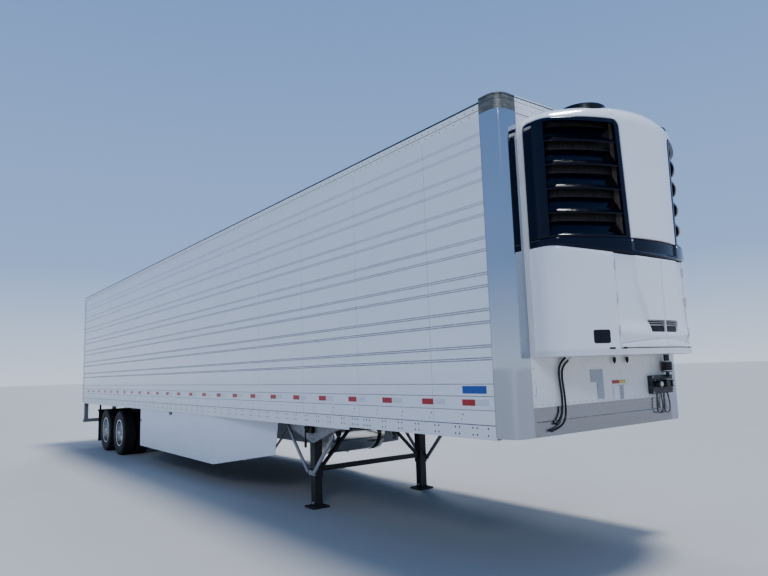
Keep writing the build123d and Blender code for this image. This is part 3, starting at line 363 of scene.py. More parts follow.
# Free hoses first: the same routes as the solids, as y and z in metres
DRAIN_X, LOOP_X = NOSE + 0.022, NOSE + 0.025
DRAIN_D, LOOP_D = 0.018, 0.010
HOSES = (
    ("drain_hose_outer", DRAIN_X, DRAIN_D, 0.617, (
        (-0.640, 1.802), (-0.722, 1.760), (-0.745, 1.660), (-0.722, 1.515), (-0.719, 1.390), (-0.738, 1.306),
        (-0.797, 1.262))),
    ("drain_hose_inner", DRAIN_X, DRAIN_D, 0.735, (
        (-0.604, 1.776), (-0.682, 1.737), (-0.706, 1.640), (-0.682, 1.500), (-0.676, 1.372), (-0.692, 1.272),
        (-0.768, 1.214), (-0.860, 1.197))),
    ("jumper_hose_inner", LOOP_X, LOOP_D, 0.397, (
        (0.778, 1.397), (0.769, 1.352), (0.764, 1.306), (0.766, 1.262), (0.795, 1.230), (0.840, 1.229),
        (0.872, 1.261), (0.875, 1.304), (0.869, 1.350), (0.860, 1.395))),
    ("jumper_hose_outer", LOOP_X, LOOP_D, 0.397, (
        (0.908, 1.394), (0.901, 1.349), (0.896, 1.303), (0.898, 1.258), (0.928, 1.227), (0.973, 1.226),
        (1.004, 1.257), (1.009, 1.301), (1.002, 1.346), (0.990, 1.390))),
)


def make_hose(node_name, x, diameter, length, route):
    curve = bpy.data.curves.new(node_name + "_line", "CURVE")
    curve.dimensions = "3D"
    curve.bevel_depth = diameter / 2
    curve.bevel_resolution = 4
    curve.use_fill_caps = True
    curve.resolution_u = 12
    spline = curve.splines.new("NURBS")
    spline.points.add(len(route) - 1)
    for point, (y, z) in zip(spline.points, route):
        point.co = (x, y, z, 1)
    spline.order_u = 3
    spline.use_endpoint_u = True
    curve.materials.append(looks["hose_black"])
    piece = show(node_name + "_line", curve)
    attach(piece, "trailer")
    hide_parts(node_name)
    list(route[0])


for hose in HOSES:
    make_hose(*hose)

# Side walls: pressed lines in pairs, plain lower band, sheets that meet at upright seams
GROOVE_FIRST, GROOVE_PITCH, GROOVE_GAP, GROOVES = 1.815, 0.314, 0.108, 7
LOW_LINES = (1.376, 1.495, 1.600)
LOW_LINE = ((-0.0035, 0), (-0.0015, -0.003), (0.0015, -0.003), (0.0035, 0.0004))
BEAD = ((-0.014, 0), (-0.011, -0.0035), (-0.007, -0.0035), (-0.004, 0.0012), (0.004, 0.0012), (0.007, -0.0035),
        (0.011, -0.0035), (0.014, 0))
ROW_STEP, COLUMN_STEPS = 0.05, 12
SHEET, SHEETS = 1.231, 13
SEAM_FIRST, SEAM_DEPTH = NOSE - 1.02, 0.0015
SEAM_STEPS = ((0.004, 0), (0.0025, -1), (-0.0025, -1), (-0.004, 0.6))
SWELL, SWELL_FROM, PROUD_MOST, PRESSED = 0.0014, 1.62, 0.004, -0.002
WAVE_MEAN, WAVE_SWING, WAVE_TURN, WAVE_SHIFT = 0.6, 0.4, 9, 2.1
SKIN_KIND, LINE_KIND, FOOT_KIND, LINER_KIND, SEAM_KIND = range(5)


def wall_rows():
    lines = [(WALL_LOW, 0)]
    lines += [(z + dz, out) for z in LOW_LINES for dz, out in LOW_LINE]
    for k in range(GROOVES):
        for z in (GROOVE_FIRST + GROOVE_PITCH * k, GROOVE_FIRST + GROOVE_PITCH * k + GROOVE_GAP):
            lines += [(z + dz, out) for dz, out in BEAD]
    lines.append((WALL_HIGH, 0))
    rows = [lines[0]]
    for line in lines[1:]:
        gap = line[0] - rows[-1][0]
        extra = int(gap / ROW_STEP)
        rows += [(rows[-1][0] + gap * (k + 1) / (extra + 1), 0) for k in range(extra)]
        rows.append(line)
    return rows


def wall_columns():
    seams = [SEAM_FIRST - SHEET * k for k in range(SHEETS) if SEAM_FIRST - SHEET * k > FRAME_FRONT + 0.1]
    columns = [(POST_REAR, 0, -1)]
    edges = [POST_REAR] + seams + [FRAME_FRONT]
    for index, (front, rear) in enumerate(zip(edges, edges[1:])):
        for k in range(1, COLUMN_STEPS):
            share = k / COLUMN_STEPS
            columns.append((front + (rear - front) * k / COLUMN_STEPS, math.sin(math.pi * share), index))
        if rear in seams:
            columns += [(rear + ahead, swell, index) for ahead, swell in SEAM_STEPS]
    columns.append((FRAME_FRONT, 0, -1))
    return columns


def side_walls():
    wall = Shape()
    rows, columns = wall_rows(), wall_columns()
    verts, quads, kinds = [], [], []
    for x, swell, sheet in columns:
        drift = random.Random(sheet * 7 + 3).uniform(0.3, 1.0)
        for z, press in rows:
            out = press
            if swell > 0 and press == 0 and z > SWELL_FROM:
                wave = math.sin(z * WAVE_TURN + sheet * WAVE_SHIFT)
                out += SWELL * drift * swell * (WAVE_MEAN + WAVE_SWING * wave)
            if swell < 0:
                out = min(press, 0) - SEAM_DEPTH
            verts.append((x, SKIN + min(out, PROUD_MOST), z))
    tall = len(rows)
    for c in range(len(columns) - 1):
        seam = columns[c][1] < 0 and columns[c + 1][1] < 0
        for r in range(tall - 1):
            a = c * tall + r
            quads.append((a, a + 1, a + tall + 1, a + tall))
            pressed = min(rows[r][1], rows[r + 1][1]) < PRESSED
            foot = rows[r + 1][0] < LOW_LINES[0]
            # Pressed lines and upright seams take the looks with painted shade in them
            kinds.append(SEAM_KIND if seam else LINE_KIND if pressed else FOOT_KIND if foot else SKIN_KIND)
    wall.add(verts, quads)
    wall.kinds = kinds
    wall.kind = LINER_KIND
    wall.add([(x, LINER, z) for x in (POST_REAR, FRAME_FRONT) for z in (WALL_LOW, WALL_HIGH)], [(0, 2, 3, 1)])
    wall.kind = SKIN_KIND
    for z in (WALL_LOW, WALL_HIGH):
        edge = [(POST_REAR, SKIN, z), (FRAME_FRONT, SKIN, z), (FRAME_FRONT, LINER, z), (POST_REAR, LINER, z)]
        wall.add(edge, [(0, 1, 2, 3) if z == WALL_LOW else (3, 2, 1, 0)])
    for x in (POST_REAR, FRAME_FRONT):
        edge = [(x, SKIN, WALL_LOW), (x, LINER, WALL_LOW), (x, LINER, WALL_HIGH), (x, SKIN, WALL_HIGH)]
        wall.add(edge, [(0, 1, 2, 3) if x == POST_REAR else (3, 2, 1, 0)])
    for name, side in (("side_wall_left", 1), ("side_wall_right", -1)):
        wall.on_side(side).piece(name + "_skin", "white_skin groove_shade white_rail liner seam_shade",
                                 "white_skin", smooth=20, replaces=(name,))


side_walls()

# Rivets in rows on the rails and walls, and dark lines on both sides: seal strips, and a painted shadow line
# over the bottom rail
RAIL_PITCHES = (0.223, 0.276, 0.291, 0.262, 0.270, 0.284)
RAIL_ROWS, WALL_ROWS, TOP_ROWS = (1.224, 1.167), (1.335, 1.292), (4.047, 3.990)
RAIL_PAIR, WALL_PITCH, TOP_PITCH = 0.0265, 0.43, 0.102
RAIL_RIVET, WALL_RIVET = (0.0095, 0.0026), (0.008, 0.003)
SMALL_RIVET, TOP_RIVET = (0.006, 0.002), (0.008, 0.0026)
RAIL_LONE, RAIL_START, WALL_START, TOP_START = NOSE - 0.317, NOSE - 0.4755, NOSE - 0.62, NOSE - 0.30
EXTRA_RIVETS = (6, 7)
# Dark lines: the lowest is painted shadow in the gap above the bottom rail, the others are dark seal strips
SEAL_AND_SHADOW_LINES = ((1.2490, 1.2545), (4.018, 4.022), (HEIGHT - 0.014, HEIGHT + 0.0015))


def rivet_rows():
    low, wall, top, seals_and_shadows = Shape(), Shape(), Shape(), Shape()
    places = [RAIL_LONE]
    x = RAIL_START
    count = 0
    while x > FRAME_FRONT + 0.08:
        places += [x + RAIL_PAIR, x - RAIL_PAIR]
        if count in EXTRA_RIVETS:
            places.append(x - 3 * RAIL_PAIR)
        x -= RAIL_PITCHES[count % len(RAIL_PITCHES)]
        count += 1
    for x in places:
        for z in RAIL_ROWS:
            low.rivet((x, RAIL_FACE, z), Y_AXIS, *RAIL_RIVET)
    for x in along(WALL_START, FRAME_FRONT + 0.1, -WALL_PITCH):
        wall.rivet((x, SKIN, WALL_ROWS[0]), Y_AXIS, *WALL_RIVET)
        wall.rivet((x - 0.02, SKIN, WALL_ROWS[1]), Y_AXIS, *SMALL_RIVET)
    for x in along(TOP_START, FRAME_FRONT + 0.03, -TOP_PITCH):
        top.rivet((x, RAIL_FACE, TOP_ROWS[0]), Y_AXIS, *TOP_RIVET, 6)
        top.rivet((x - TOP_PITCH / 2, RAIL_FACE, TOP_ROWS[1]), Y_AXIS, *TOP_RIVET, 6)
    for z0, z1 in SEAL_AND_SHADOW_LINES:
        seals_and_shadows.box(FRAME_FRONT, POST_REAR, RAIL_FACE - 0.004, RAIL_FACE + 0.0012, z0, z1)
    seals_and_shadows.box(POST_REAR - 0.004, POST_REAR + 0.001, RAIL_FACE - 0.004, RAIL_FACE + 0.001, RAIL_LOW + 0.01,
              HEIGHT - 0.02)
    low.both().piece("rail_rivets", "rivet_grey", "white_rail")
    wall.both().piece("wall_rivets", "rivet_grey", "white_rail")
    top.both().piece("top_rail_rivets", "rivet_pale", "white_rail")
    seals_and_shadows.both().piece("seal_and_shadow_lines", "seal_and_shade_dark", "white_rail")


rivet_rows()

# Reflective tape along both sides, and the plain label near the nose
TAPE_STEPS = ((0.0, 1), (0.553, 1), (0.641, 6), (0.630, 6), (0.6105, 11))
TAPE_LONG, RED_Z, SILVER_Z = 0.16, (1.413, 1.467), (1.415, 1.465)
SIDE_LABEL = ((0.611, 0.315, 0.0004, 0.0014, 1.518, 1.584), (0.600, 0.326, 0.0012, 0.0018, 1.527, 1.575))


def side_tape():
    strips, label = Shape(), Shape()
    y = SKIN + 0.0004
    x = NOSE - 0.46
    for step, count in TAPE_STEPS:
        for k in range(count):
            x -= step
            strips.kind = 0
            strips.box(x - TAPE_LONG, x, y, y + 0.0016, *RED_Z)
            strips.kind = 1
            strips.box(x + 0.001, x + TAPE_LONG + 0.005, y, y + 0.0014, *SILVER_Z)
    strips.both().piece("side_tape", "red_tape silver_tape", "white_rail")
    for rear, front, low, out, z0, z1 in SIDE_LABEL:
        label.box(NOSE - rear, NOSE - front, SKIN + low, SKIN + out, z0, z1)
    label.both().piece("side_labels", "blue_label", "white_skin", bevel=0.0004, segments=1)


side_tape()

# Cooling unit: its skin is one curved surface, followed by a run around the plan and a rise up the wall
BELT_MAX, GRILLE_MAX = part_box("unit_belt")[1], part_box("unit_grilles")[1]
UNIT_TIP, UNIT_HALF, BELT_TOP = BELT_MAX
GRILLE_TOP = GRILLE_MAX.z
PAN_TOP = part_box("unit_side_panels")[0].z
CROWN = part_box("unit_roof")[1].z
CROWN_SAG = 0.082
FRONT_R, CORNER_R = 1.67, 0.20
SEAM_Y, SEAM_GAP = 0.55, 0.006
KNUCKLE_LOW, KNUCKLE_PITCH, KNUCKLE_H, KNUCKLES = 0.100, 0.280, 0.040, 3
NOTCH_GAP, NOTCH_DEPTH = 0.003, 0.0045
BARREL_R, PIN_R = 0.006, 0.003
CENTRE_LOW, CENTRE_HIGH, ROOF_SEAM_Y = 0.36, 0.396, 0.46
ARC_X = UNIT_TIP - FRONT_R
HINGE_X = ARC_X + math.sqrt(FRONT_R ** 2 - SEAM_Y ** 2) + 0.003
CORNER_Y = UNIT_HALF - CORNER_R
CORNER_X = ARC_X + math.sqrt((FRONT_R - CORNER_R) ** 2 - CORNER_Y ** 2)
CORNER_TURN = math.atan2(CORNER_Y, CORNER_X - ARC_X)
ARC_RUN = FRONT_R * CORNER_TURN
CORNER_RUN = CORNER_R * (math.pi / 2 - CORNER_TURN)
FULL_RUN = ARC_RUN + CORNER_RUN + CORNER_X - NOSE
CROWN_R = (UNIT_HALF ** 2 + CROWN_SAG ** 2) / (2 * CROWN_SAG)
BELT_LOW, BELT_R = 2.65, 6.1
BROW, BROW_MORE, BROW_FROM = 0.14, 0.05, 0.55
SHELL = 0.030
FINE, FINE_CLEAR = (0.0008, 0.0022, 0.0045, 0.008, 0.012), 0.014


def ease(value):
    value = min(1.0, max(0.0, value))
    return value * value * (3 - 2 * value)


def plan(run, inset):
    side = -1 if run < 0 else 1
    run = abs(run)
    if run <= ARC_RUN:
        turn = run / FRONT_R
        return ARC_X + (FRONT_R - inset) * math.cos(turn), side * (FRONT_R - inset) * math.sin(turn)
    if run <= ARC_RUN + CORNER_RUN:
        turn = CORNER_TURN + (run - ARC_RUN) / CORNER_R
        reach = CORNER_R - inset
        return CORNER_X + reach * math.cos(turn), side * (CORNER_Y + reach * math.sin(turn))
    return CORNER_X + ARC_RUN + CORNER_RUN - run, side * (UNIT_HALF - inset)


def run_at(y):
    return FRONT_R * math.asin(y / FRONT_R)


def brow(run):
    return BROW + BROW_MORE * ease((abs(run) - BROW_FROM) / BROW_FROM)


def top_z(y):
    return CROWN - CROWN_R + math.sqrt(CROWN_R ** 2 - y * y)


def wall_top(run):
    return top_z(plan(run, brow(run))[1]) - brow(run)


def brow_end(run):
    return wall_top(run) + brow(run) * math.pi / 2


def back_edge(run):
    return brow_end(run) + plan(run, brow(run))[0] - NOSE + 0.001


def rise_to(run, z):
    wall = wall_top(run)
    if z <= wall:
        return z
    return wall + brow(run) * math.asin(min(1.0, (z - wall) / brow(run)))


def shell(run, rise, inset=0.0):
    edge, wall = brow(run), wall_top(run)
    if rise <= wall:
        return Vector((*plan(run, inset), rise))
    turn = (rise - wall) / edge
    if turn < math.pi / 2:
        reach = edge - inset
        return Vector((*plan(run, edge - reach * math.cos(turn)), wall + reach * math.sin(turn)))
    x, y = plan(run, edge)
    return Vector((max(NOSE, x - (rise - wall - edge * math.pi / 2)), y, top_z(y) - inset))


def rolled(gap, radius=0.012):
    if gap >= radius:
        return 0.0
    return radius - math.sqrt(max(0.0, radius ** 2 - (radius - gap) ** 2))


def stops(start, end, step, roll=True):
    count = max(1, round(abs(end - start) / step))
    inner = [start + (end - start) * k / count for k in range(1, count)]
    sign = 1 if end > start else -1
    fine = FINE if roll else ()
    head = [start] + [start + sign * f for f in fine]
    tail = [end - sign * f for f in reversed(fine)] + [end]
    return head + [v for v in inner if min(abs(v - start), abs(v - end)) > FINE_CLEAR] + tail


def shares(count, fine=(0.002, 0.006, 0.013, 0.024)):
    inner = [k / count for k in range(1, count) if fine[-1] < k / count < 1 - fine[-1]]
    return [0.0, *fine, *inner, *[1 - f for f in reversed(fine)], 1.0]


def wrap(shape, columns, rows, place, thick, hole=None):
    wide, tall = len(columns), len(rows)
    verts = [place(c, r, back) for back in (0.0, thick) for c in columns for r in rows]
    layer = wide * tall

    def filled(i, j):
        if not (0 <= i < wide - 1 and 0 <= j < tall - 1):
            return False
        return not (hole and hole((columns[i] + columns[i + 1]) / 2, (rows[j] + rows[j + 1]) / 2))

    faces = []
    for i in range(wide - 1):
        for j in range(tall - 1):
            if not filled(i, j):
                continue
            a, b = i * tall + j, (i + 1) * tall + j
            faces.append((a, b, b + 1, a + 1))
            faces.append((a + layer, a + 1 + layer, b + 1 + layer, b + layer))
            if not filled(i, j - 1):
                faces.append((a, a + layer, b + layer, b))
            if not filled(i, j + 1):
                faces.append((a + 1, b + 1, b + 1 + layer, a + 1 + layer))
            if not filled(i - 1, j):
                faces.append((a, a + 1, a + 1 + layer, a + layer))
            if not filled(i + 1, j):
                faces.append((b, b + layer, b + 1 + layer, b + 1))
    used = sorted({i for face in faces for i in face})
    place_of = {old: new for new, old in enumerate(used)}
    shape.add([verts[i] for i in used], [[place_of[i] for i in face] for face in faces])


def belt_low(y):
    return BELT_LOW + BELT_R - math.sqrt(BELT_R * BELT_R - y * y)


def knuckles(first):
    return [first + KNUCKLE_PITCH * k for k in range(KNUCKLES)]


def by_knuckle(z, pins):
    return any(-NOTCH_GAP < z - pin < KNUCKLE_H + NOTCH_GAP for pin in pins)


def barrel(shape, z, radius=BARREL_R, high=KNUCKLE_H, steps=16):
    shape.lathe([(0, radius), (high, radius)], (HINGE_X, SEAM_Y, z), Z_AXIS, steps)


# Service doors: a band with an upper crease, a low hollow beside it, slots with strips, and hinge notches
BAND_FOOT, BAND_LOW, BAND_HIGH = 1.866, 1.937, 1.960
BAND_PARTS = (0, 0.04, 0.08, 0.12, 0.2, 0.35, 0.5, 0.65, 0.8, 0.92, 1)
BAND_DROP, BAND_RISE, BAND_DEPTH, BAND_MORE, BAND_BREAK = 0.045, 0.034, 0.012, 0.020, 0.12
CREST, CREST_IN, CREST_Z, CREST_FALL = 0.335, 0.11, 2.45, 0.40
HOLLOW, HOLLOW_BACK, HOLLOW_WIDE, HOLLOW_LOW, HOLLOW_RISE = 0.015, 0.008, 0.036, 1.99, 0.12
SLOT_LOW, SLOT_HIGH, SLOT_IN, SLOT_OUT, SLOT_SLANT = 1.996, 2.098, 0.008, 0.2265, 0.0205
SLOT_END = 0.40
STRIPS, STRIP_PITCH, STRIP_H = 3, 0.0165, 0.012
DOOR_THICK, DOOR_WIDE, DOOR_MID = 0.026, 0.53, 0.3


def slot_shift(run, z):
    share = min(1.0, max(-1.0, (2 * z - SLOT_LOW - SLOT_HIGH) / (SLOT_HIGH - SLOT_LOW)))
    inner = (run - SLOT_IN) / (SLOT_OUT - SLOT_IN)
    outer = (SLOT_END - run) / (SLOT_END - SLOT_OUT)
    return run + SLOT_SLANT * share * min(1.0, max(0.0, inner if run < SLOT_OUT else outer))


def door_relief(run, z):
    crest = CREST - CREST_IN * ease((CREST_Z - z) / CREST_FALL)
    return HOLLOW * ease((run - crest + HOLLOW_BACK) / HOLLOW_WIDE) * ease((z - HOLLOW_LOW) / HOLLOW_RISE)


def band_line(run, line):
    share = run / DOOR_WIDE
    low, high = BAND_LOW - BAND_DROP * share ** 1.3, BAND_HIGH + BAND_RISE * share ** 2
    if line <= BAND_LOW:
        return BAND_FOOT + (line - BAND_FOOT) * (low - BAND_FOOT) / (BAND_LOW - BAND_FOOT), 0.0
    if line >= SLOT_LOW:
        return line, 0.0
    if line >= BAND_HIGH:
        return high + (line - BAND_HIGH) * (SLOT_LOW - high) / (SLOT_LOW - BAND_HIGH), 0.0
    part = (line - BAND_LOW) / (BAND_HIGH - BAND_LOW)
    press = ease(part / BAND_BREAK) * (1 - ease((part - BAND_BREAK) / (1 - BAND_BREAK)))
    depth = (BAND_DEPTH + BAND_MORE * share) * press
    return low + (high - low) * part, depth


def service_doors():
    left, right = SEAM_GAP / 2, run_at(SEAM_Y) - SEAM_GAP / 2
    low = PAN_TOP + SEAM_GAP
    span = belt_low(DOOR_MID) - SEAM_GAP - low
    notch = right - NOTCH_DEPTH
    pins = knuckles(PAN_TOP + KNUCKLE_LOW)
    columns = sorted({*stops(left, right, 0.009), SLOT_IN, SLOT_OUT, notch})
    lines = [low + span * row for row in stops(0.0, 1.0, 0.012)]
    lines = [z for z in lines if not BAND_LOW - 0.004 < z < BAND_HIGH + 0.004]
    lines += [BAND_LOW + (BAND_HIGH - BAND_LOW) * part for part in BAND_PARTS]
    lines += [z + d for z in pins for d in (-NOTCH_GAP, KNUCKLE_H + NOTCH_GAP)]
    lines = sorted({*lines, SLOT_LOW, SLOT_HIGH})

    def place(run, line, back):
        share = (line - low) / span
        run = slot_shift(run, line)
        z, press = band_line(run, line)
        z += share ** 3 * (belt_low(abs(plan(run, 0)[1])) - belt_low(DOOR_MID))
        gap = min(run - left, right - run, line - low, low + span - line)
        return shell(run, z, rolled(gap) + door_relief(run, z) + press + back)

    def hole(run, line):
        in_slot = SLOT_IN < run < SLOT_OUT and SLOT_LOW < line < SLOT_HIGH
        return in_slot or run > notch and by_knuckle(line, pins)

    def inset(depth, slope=0.0, edge=0.0):
        return lambda run, z, back: shell(run, z, depth + slope * (edge - z) + back)

    door = Shape()
    wrap(door, columns, lines, place, DOOR_THICK, hole)
    for z in pins:
        barrel(door, z + KNUCKLE_H + SEAM_GAP)
    door.kind = 1
    wrap(door, stops(SLOT_IN - 0.004, SLOT_OUT + 0.02, 0.02, False), [SLOT_LOW - 0.006, SLOT_HIGH + 0.006],
         inset(SHELL), 0.003)
    wrap(door, [SLOT_IN + 0.003, 0.08, 0.15, SLOT_OUT - 0.020], [SLOT_LOW + 0.002, SLOT_LOW + 0.046],
         inset(0.014), 0.012)
    door.kind = 2
    for k in range(STRIPS):
        top = SLOT_HIGH - 0.004 - STRIP_PITCH * k
        wrap(door, [SLOT_IN + 0.001, 0.06, 0.12, 0.18, SLOT_OUT + 0.016 - 0.004 * k], [top - STRIP_H, top],
             inset(0.007, 0.7, top), 0.002)
    for name, side in (("left", 1), ("right", -1)):
        door.on_side(side).piece("service_door_%s_skin" % name, "gel_white black_plastic brushed",
                                 "unit_white", body="service_door_" + name, replaces=("unit_door_" + name,))


service_doors()


def unit_sides():
    low = PAN_TOP
    first = run_at(SEAM_Y) + SEAM_GAP / 2
    notch = first + NOTCH_DEPTH
    height = belt_low(SEAM_Y) - SEAM_GAP / 2 - low
    pins = knuckles(PAN_TOP + KNUCKLE_LOW + KNUCKLE_H + SEAM_GAP)
    columns = sorted(stops(first, FULL_RUN, 0.035) + [notch])
    rows = [(z + d - low) / height for z in pins for d in (-NOTCH_GAP, KNUCKLE_H + NOTCH_GAP)]
    rows = sorted(rows + stops(0.0, 1.0, 0.06))

    def place(run, row, back):
        high = belt_low(abs(plan(run, 0)[1])) - SEAM_GAP / 2
        gap = min(run - first, (1 - row) * (high - low))
        return shell(run, low + (high - low) * row, rolled(gap) + back)

    def hole(run, row):
        return run < notch and by_knuckle(low + height * row, pins)

    sides = Shape()
    wrap(sides, columns, rows, place, SHELL, hole)
    for z in pins:
        barrel(sides, z - KNUCKLE_H - SEAM_GAP)
        barrel(sides, z - SEAM_GAP, PIN_R, KNUCKLE_H + SEAM_GAP, 12)
    sides.both().piece("unit_side_skin", "gel_white", "unit_white", replaces=("unit_side_panels",))


unit_sides()


POCKET, POCKET_RUN, POCKET_LOW = 0.016, 0.352, 0.022


def unit_belt():
    half = stops(0.0, FULL_RUN, 0.02, False)
    columns = [-run for run in reversed(half[1:])] + half

    def place(run, row, back):
        low = belt_low(abs(plan(run, 0)[1]))
        z = low + (BELT_TOP - 0.002 - low) * row
        gap = min(row, 1 - row) * (BELT_TOP - low)
        pocket = ease((POCKET_RUN - abs(run)) / 0.02) * ease((z - low - POCKET_LOW) / 0.018)
        return shell(run, z, rolled(gap, 0.009) + POCKET * pocket + back)

    belt = Shape()
    wrap(belt, columns, stops(0.0, 1.0, 0.07), place, SHELL)
    belt.piece("unit_belt_skin", "gel_dark", "unit_dark", replaces=("unit_belt",))


unit_belt()

# Centre panel, which widens at its top, and the louvred grille on each side of it
FLARE_LOW, FLARE_H = GRILLE_TOP - 0.075, 0.072
CENTRE_FOOT = BELT_TOP + 0.003
ROOF_START = brow_end(0) + 0.03
GRILLE_HIGH = GRILLE_TOP - 0.006
WINDOW_RUN = 1.118
WINDOW_FIRST, WINDOW_LAST, WINDOW_FOOT, WINDOW_HEAD = 0.05, 0.75, 0.0146, 0.965
BLADES, BLADE_STEPS = 5, 26
BLADE = ((0.0, 0.020, -0.006), (0.0, 0.008, -0.009), (0.0, 0.004, -0.004), (0.0, 0.004, 0.006),
         (0.0, 0.010, 0.011), (0.35, 0.034, 0.055), (0.75, 0.060, 0.110), (1.0, 0.076, 0.148),
         (1.0, 0.078, 0.148), (0.75, 0.064, 0.108), (0.35, 0.038, 0.050), (0.0, 0.024, 0.004))
BLADE_CUT, BLADE_TIP = run_at(0.63), run_at(0.457)
WEB_Y, WEB_THICK = 0.4124, 0.0026


def centre_run(z):
    share = min(1.0, (z - BELT_TOP) / (GRILLE_TOP - BELT_TOP))
    flare = min(1.0, max(0.0, (z - FLARE_LOW) / FLARE_H))
    y = CENTRE_LOW + (CENTRE_HIGH - CENTRE_LOW) * share
    return run_at(y + (ROOF_SEAM_Y - y) * (1 - math.sqrt(1 - flare ** 2)))


def crown_edge(run):
    return GRILLE_HIGH - 0.045 * ease((abs(run) - FULL_RUN + 0.07) / 0.07)


def unit_centre():
    rows = sorted(stops(CENTRE_FOOT, ROOF_START, 0.045)
                  + [FLARE_LOW + FLARE_H * math.sin(k * math.pi / 20) for k in range(11)])

    def place(share, row, back):
        half = centre_run(min(row, GRILLE_TOP)) - 0.002
        gap = min((1 - abs(share)) * half, row - CENTRE_FOOT)
        return shell(share * half, row, rolled(gap, 0.010) + back)

    panel = Shape()
    wrap(panel, [2 * share - 1 for share in shares(24)], rows, place, 0.028)
    panel.piece("unit_centre_skin", "gel_white", "unit_white", replaces=("unit_centre_panel",))


unit_centre()


def grille_run(share, z):
    first = centre_run(z) + 0.004
    strip = first + 0.050
    if share <= WINDOW_FIRST:
        return first + (strip - first) * share / WINDOW_FIRST
    if share <= WINDOW_LAST:
        return strip + (WINDOW_RUN - strip) * (share - WINDOW_FIRST) / (WINDOW_LAST - WINDOW_FIRST)
    return WINDOW_RUN + (FULL_RUN - WINDOW_RUN) * (share - WINDOW_LAST) / (1 - WINDOW_LAST)


def unit_grille():
    def place(share, row, back):
        run = grille_run(share, BELT_TOP + (GRILLE_HIGH - BELT_TOP) * row)
        high = crown_edge(run) - BELT_TOP
        z = BELT_TOP + high * row
        gap = min(run - centre_run(z) - 0.004, row * high, (1 - row) * high)
        lip = 0.004 * ease(1 - abs(share - WINDOW_LAST) / 0.02) if 0.01 < row < 0.97 else 0.0
        return shell(run, rise_to(run, z), rolled(gap, 0.008) + lip + back)

    def hole(share, row):
        return WINDOW_FIRST < share < WINDOW_LAST and WINDOW_FOOT < row < WINDOW_HEAD

    grille = Shape()
    columns = sorted({*shares(36), WINDOW_FIRST, WINDOW_LAST})
    wrap(grille, columns, sorted({*shares(26), WINDOW_FOOT, WINDOW_HEAD}), place, SHELL, hole)
    grille.kind = 1
    for k in range(BLADES):
        lip = BELT_TOP + (GRILLE_TOP - BELT_TOP - 0.006) / BLADES * k
        rings = []
        for step in range(BLADE_STEPS + 1):
            ring = []
            for share, inset, high in BLADE:
                z = lip + high
                begin = grille_run(WINDOW_FIRST, z) - 0.004
                if high >= 0.02:
                    begin = max(begin, BLADE_CUT + (BLADE_TIP - BLADE_CUT) * share)
                run = begin + (WINDOW_RUN + 0.004 - begin) * step / BLADE_STEPS
                ring.append(shell(run, min(z, GRILLE_TOP - 0.02), inset))
            rings.append(ring)
        grille.rings(rings)
    # Boxes behind the openings, in the painted-light coil look
    grille.kind = 2
    front = plan(run_at(WEB_Y), 0.031)[0]
    for x0, x1, y0 in ((NOSE + 0.30, front, WEB_Y), (front, front + 0.003, WEB_Y - 0.015)):
        grille.box(x0, x1, y0, WEB_Y + WEB_THICK, BELT_TOP + 0.002, GRILLE_TOP - 0.03)
    grille.both().piece("unit_grille_skin", "gel_dark blade_dark coil_side", "unit_dark",
                        replaces=("unit_grilles",))


unit_grille()

# Crown of the unit, with a well for each fan
FAN_MIN, FAN_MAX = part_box("fan_guards")
FAN_R = (FAN_MAX.x - FAN_MIN.x) / 2
FAN_X, FAN_Y = FAN_MAX.x - FAN_R, FAN_MAX.y - FAN_R
FAN_LOW, FAN_TOP = FAN_MIN.z, FAN_MAX.z
CROWN_THICK = 0.026
BROW_SHARE = 0.6


def carve(made, shape):
    mesh = bpy.data.meshes.new("cutter")
    mesh.from_pydata([tuple(v) for v in shape.verts], [], shape.faces)
    cutter = show("cutter", mesh)
    mod = made.modifiers.new("carve", "BOOLEAN")
    mod.operation = "DIFFERENCE"
    mod.solver = "EXACT"
    mod.object = cutter
    bpy.context.view_layer.update()
    carved = bpy.data.meshes.new_from_object(made.evaluated_get(bpy.context.evaluated_depsgraph_get()))
    made.modifiers.clear()
    made.data = carved
    bpy.data.objects.remove(cutter)


def unit_crown():
    first = run_at(ROOF_SEAM_Y) + 0.002

    def side(share, row, back):
        run = first + (FULL_RUN - first) * share
        low, high = rise_to(run, crown_edge(run) + 0.004), brow_end(run)
        rise = low + (high - low) * row / BROW_SHARE
        if row >= BROW_SHARE:
            rise = high + (back_edge(run) - high) * (row - BROW_SHARE) / (1 - BROW_SHARE)
        return shell(run, rise, rolled(min(run - first, rise - low), 0.008) + back)

    def middle(share, row, back):
        run = share * (first - 0.001)
        start = ROOF_START + 0.003
        return shell(run, start + (back_edge(run) - start) * row, back)

    crown = Shape()
    wrap(crown, [0.0, 0.0007, 0.002, 0.004, 0.007] + [k / 40 for k in range(1, 41)],
         [0.0, 0.004, 0.012, 0.024, 0.045] + [k / 20 for k in range(2, 21)], side, CROWN_THICK)
    crown.both()
    wrap(crown, [-1 + k / 12 for k in range(25)], [k / 8 for k in range(9)], middle, CROWN_THICK)
    made = crown.piece("unit_crown_skin", "gel_white", "unit_white", replaces=("unit_roof",))
    wells = Shape()
    wells.lathe([(-0.2, FAN_R - 0.004), (0.2, FAN_R - 0.004)], (FAN_X, FAN_Y, CROWN), Z_AXIS, 64)
    carve(made, wells.both())


unit_crown()

# Fans in the wells, each under a domed guard of rings and spokes
DOME, RIM = 0.034, FAN_R - 0.018
HUB_R, CAP_R = 0.05, 0.066
GUARD_RINGS, SPOKES, WIRE = 13, 8, 0.0022
FAN_BLADES, FAN_STEPS = 6, 8
BLADE_SECTION = ((-1, -1), (0, -0.1), (1, 1), (1, 1.16), (0, 0.1), (-1, -0.84))


def dome(radius):
    return FAN_TOP - 0.004 - (DOME - 0.001) * (radius / RIM) ** 1.6


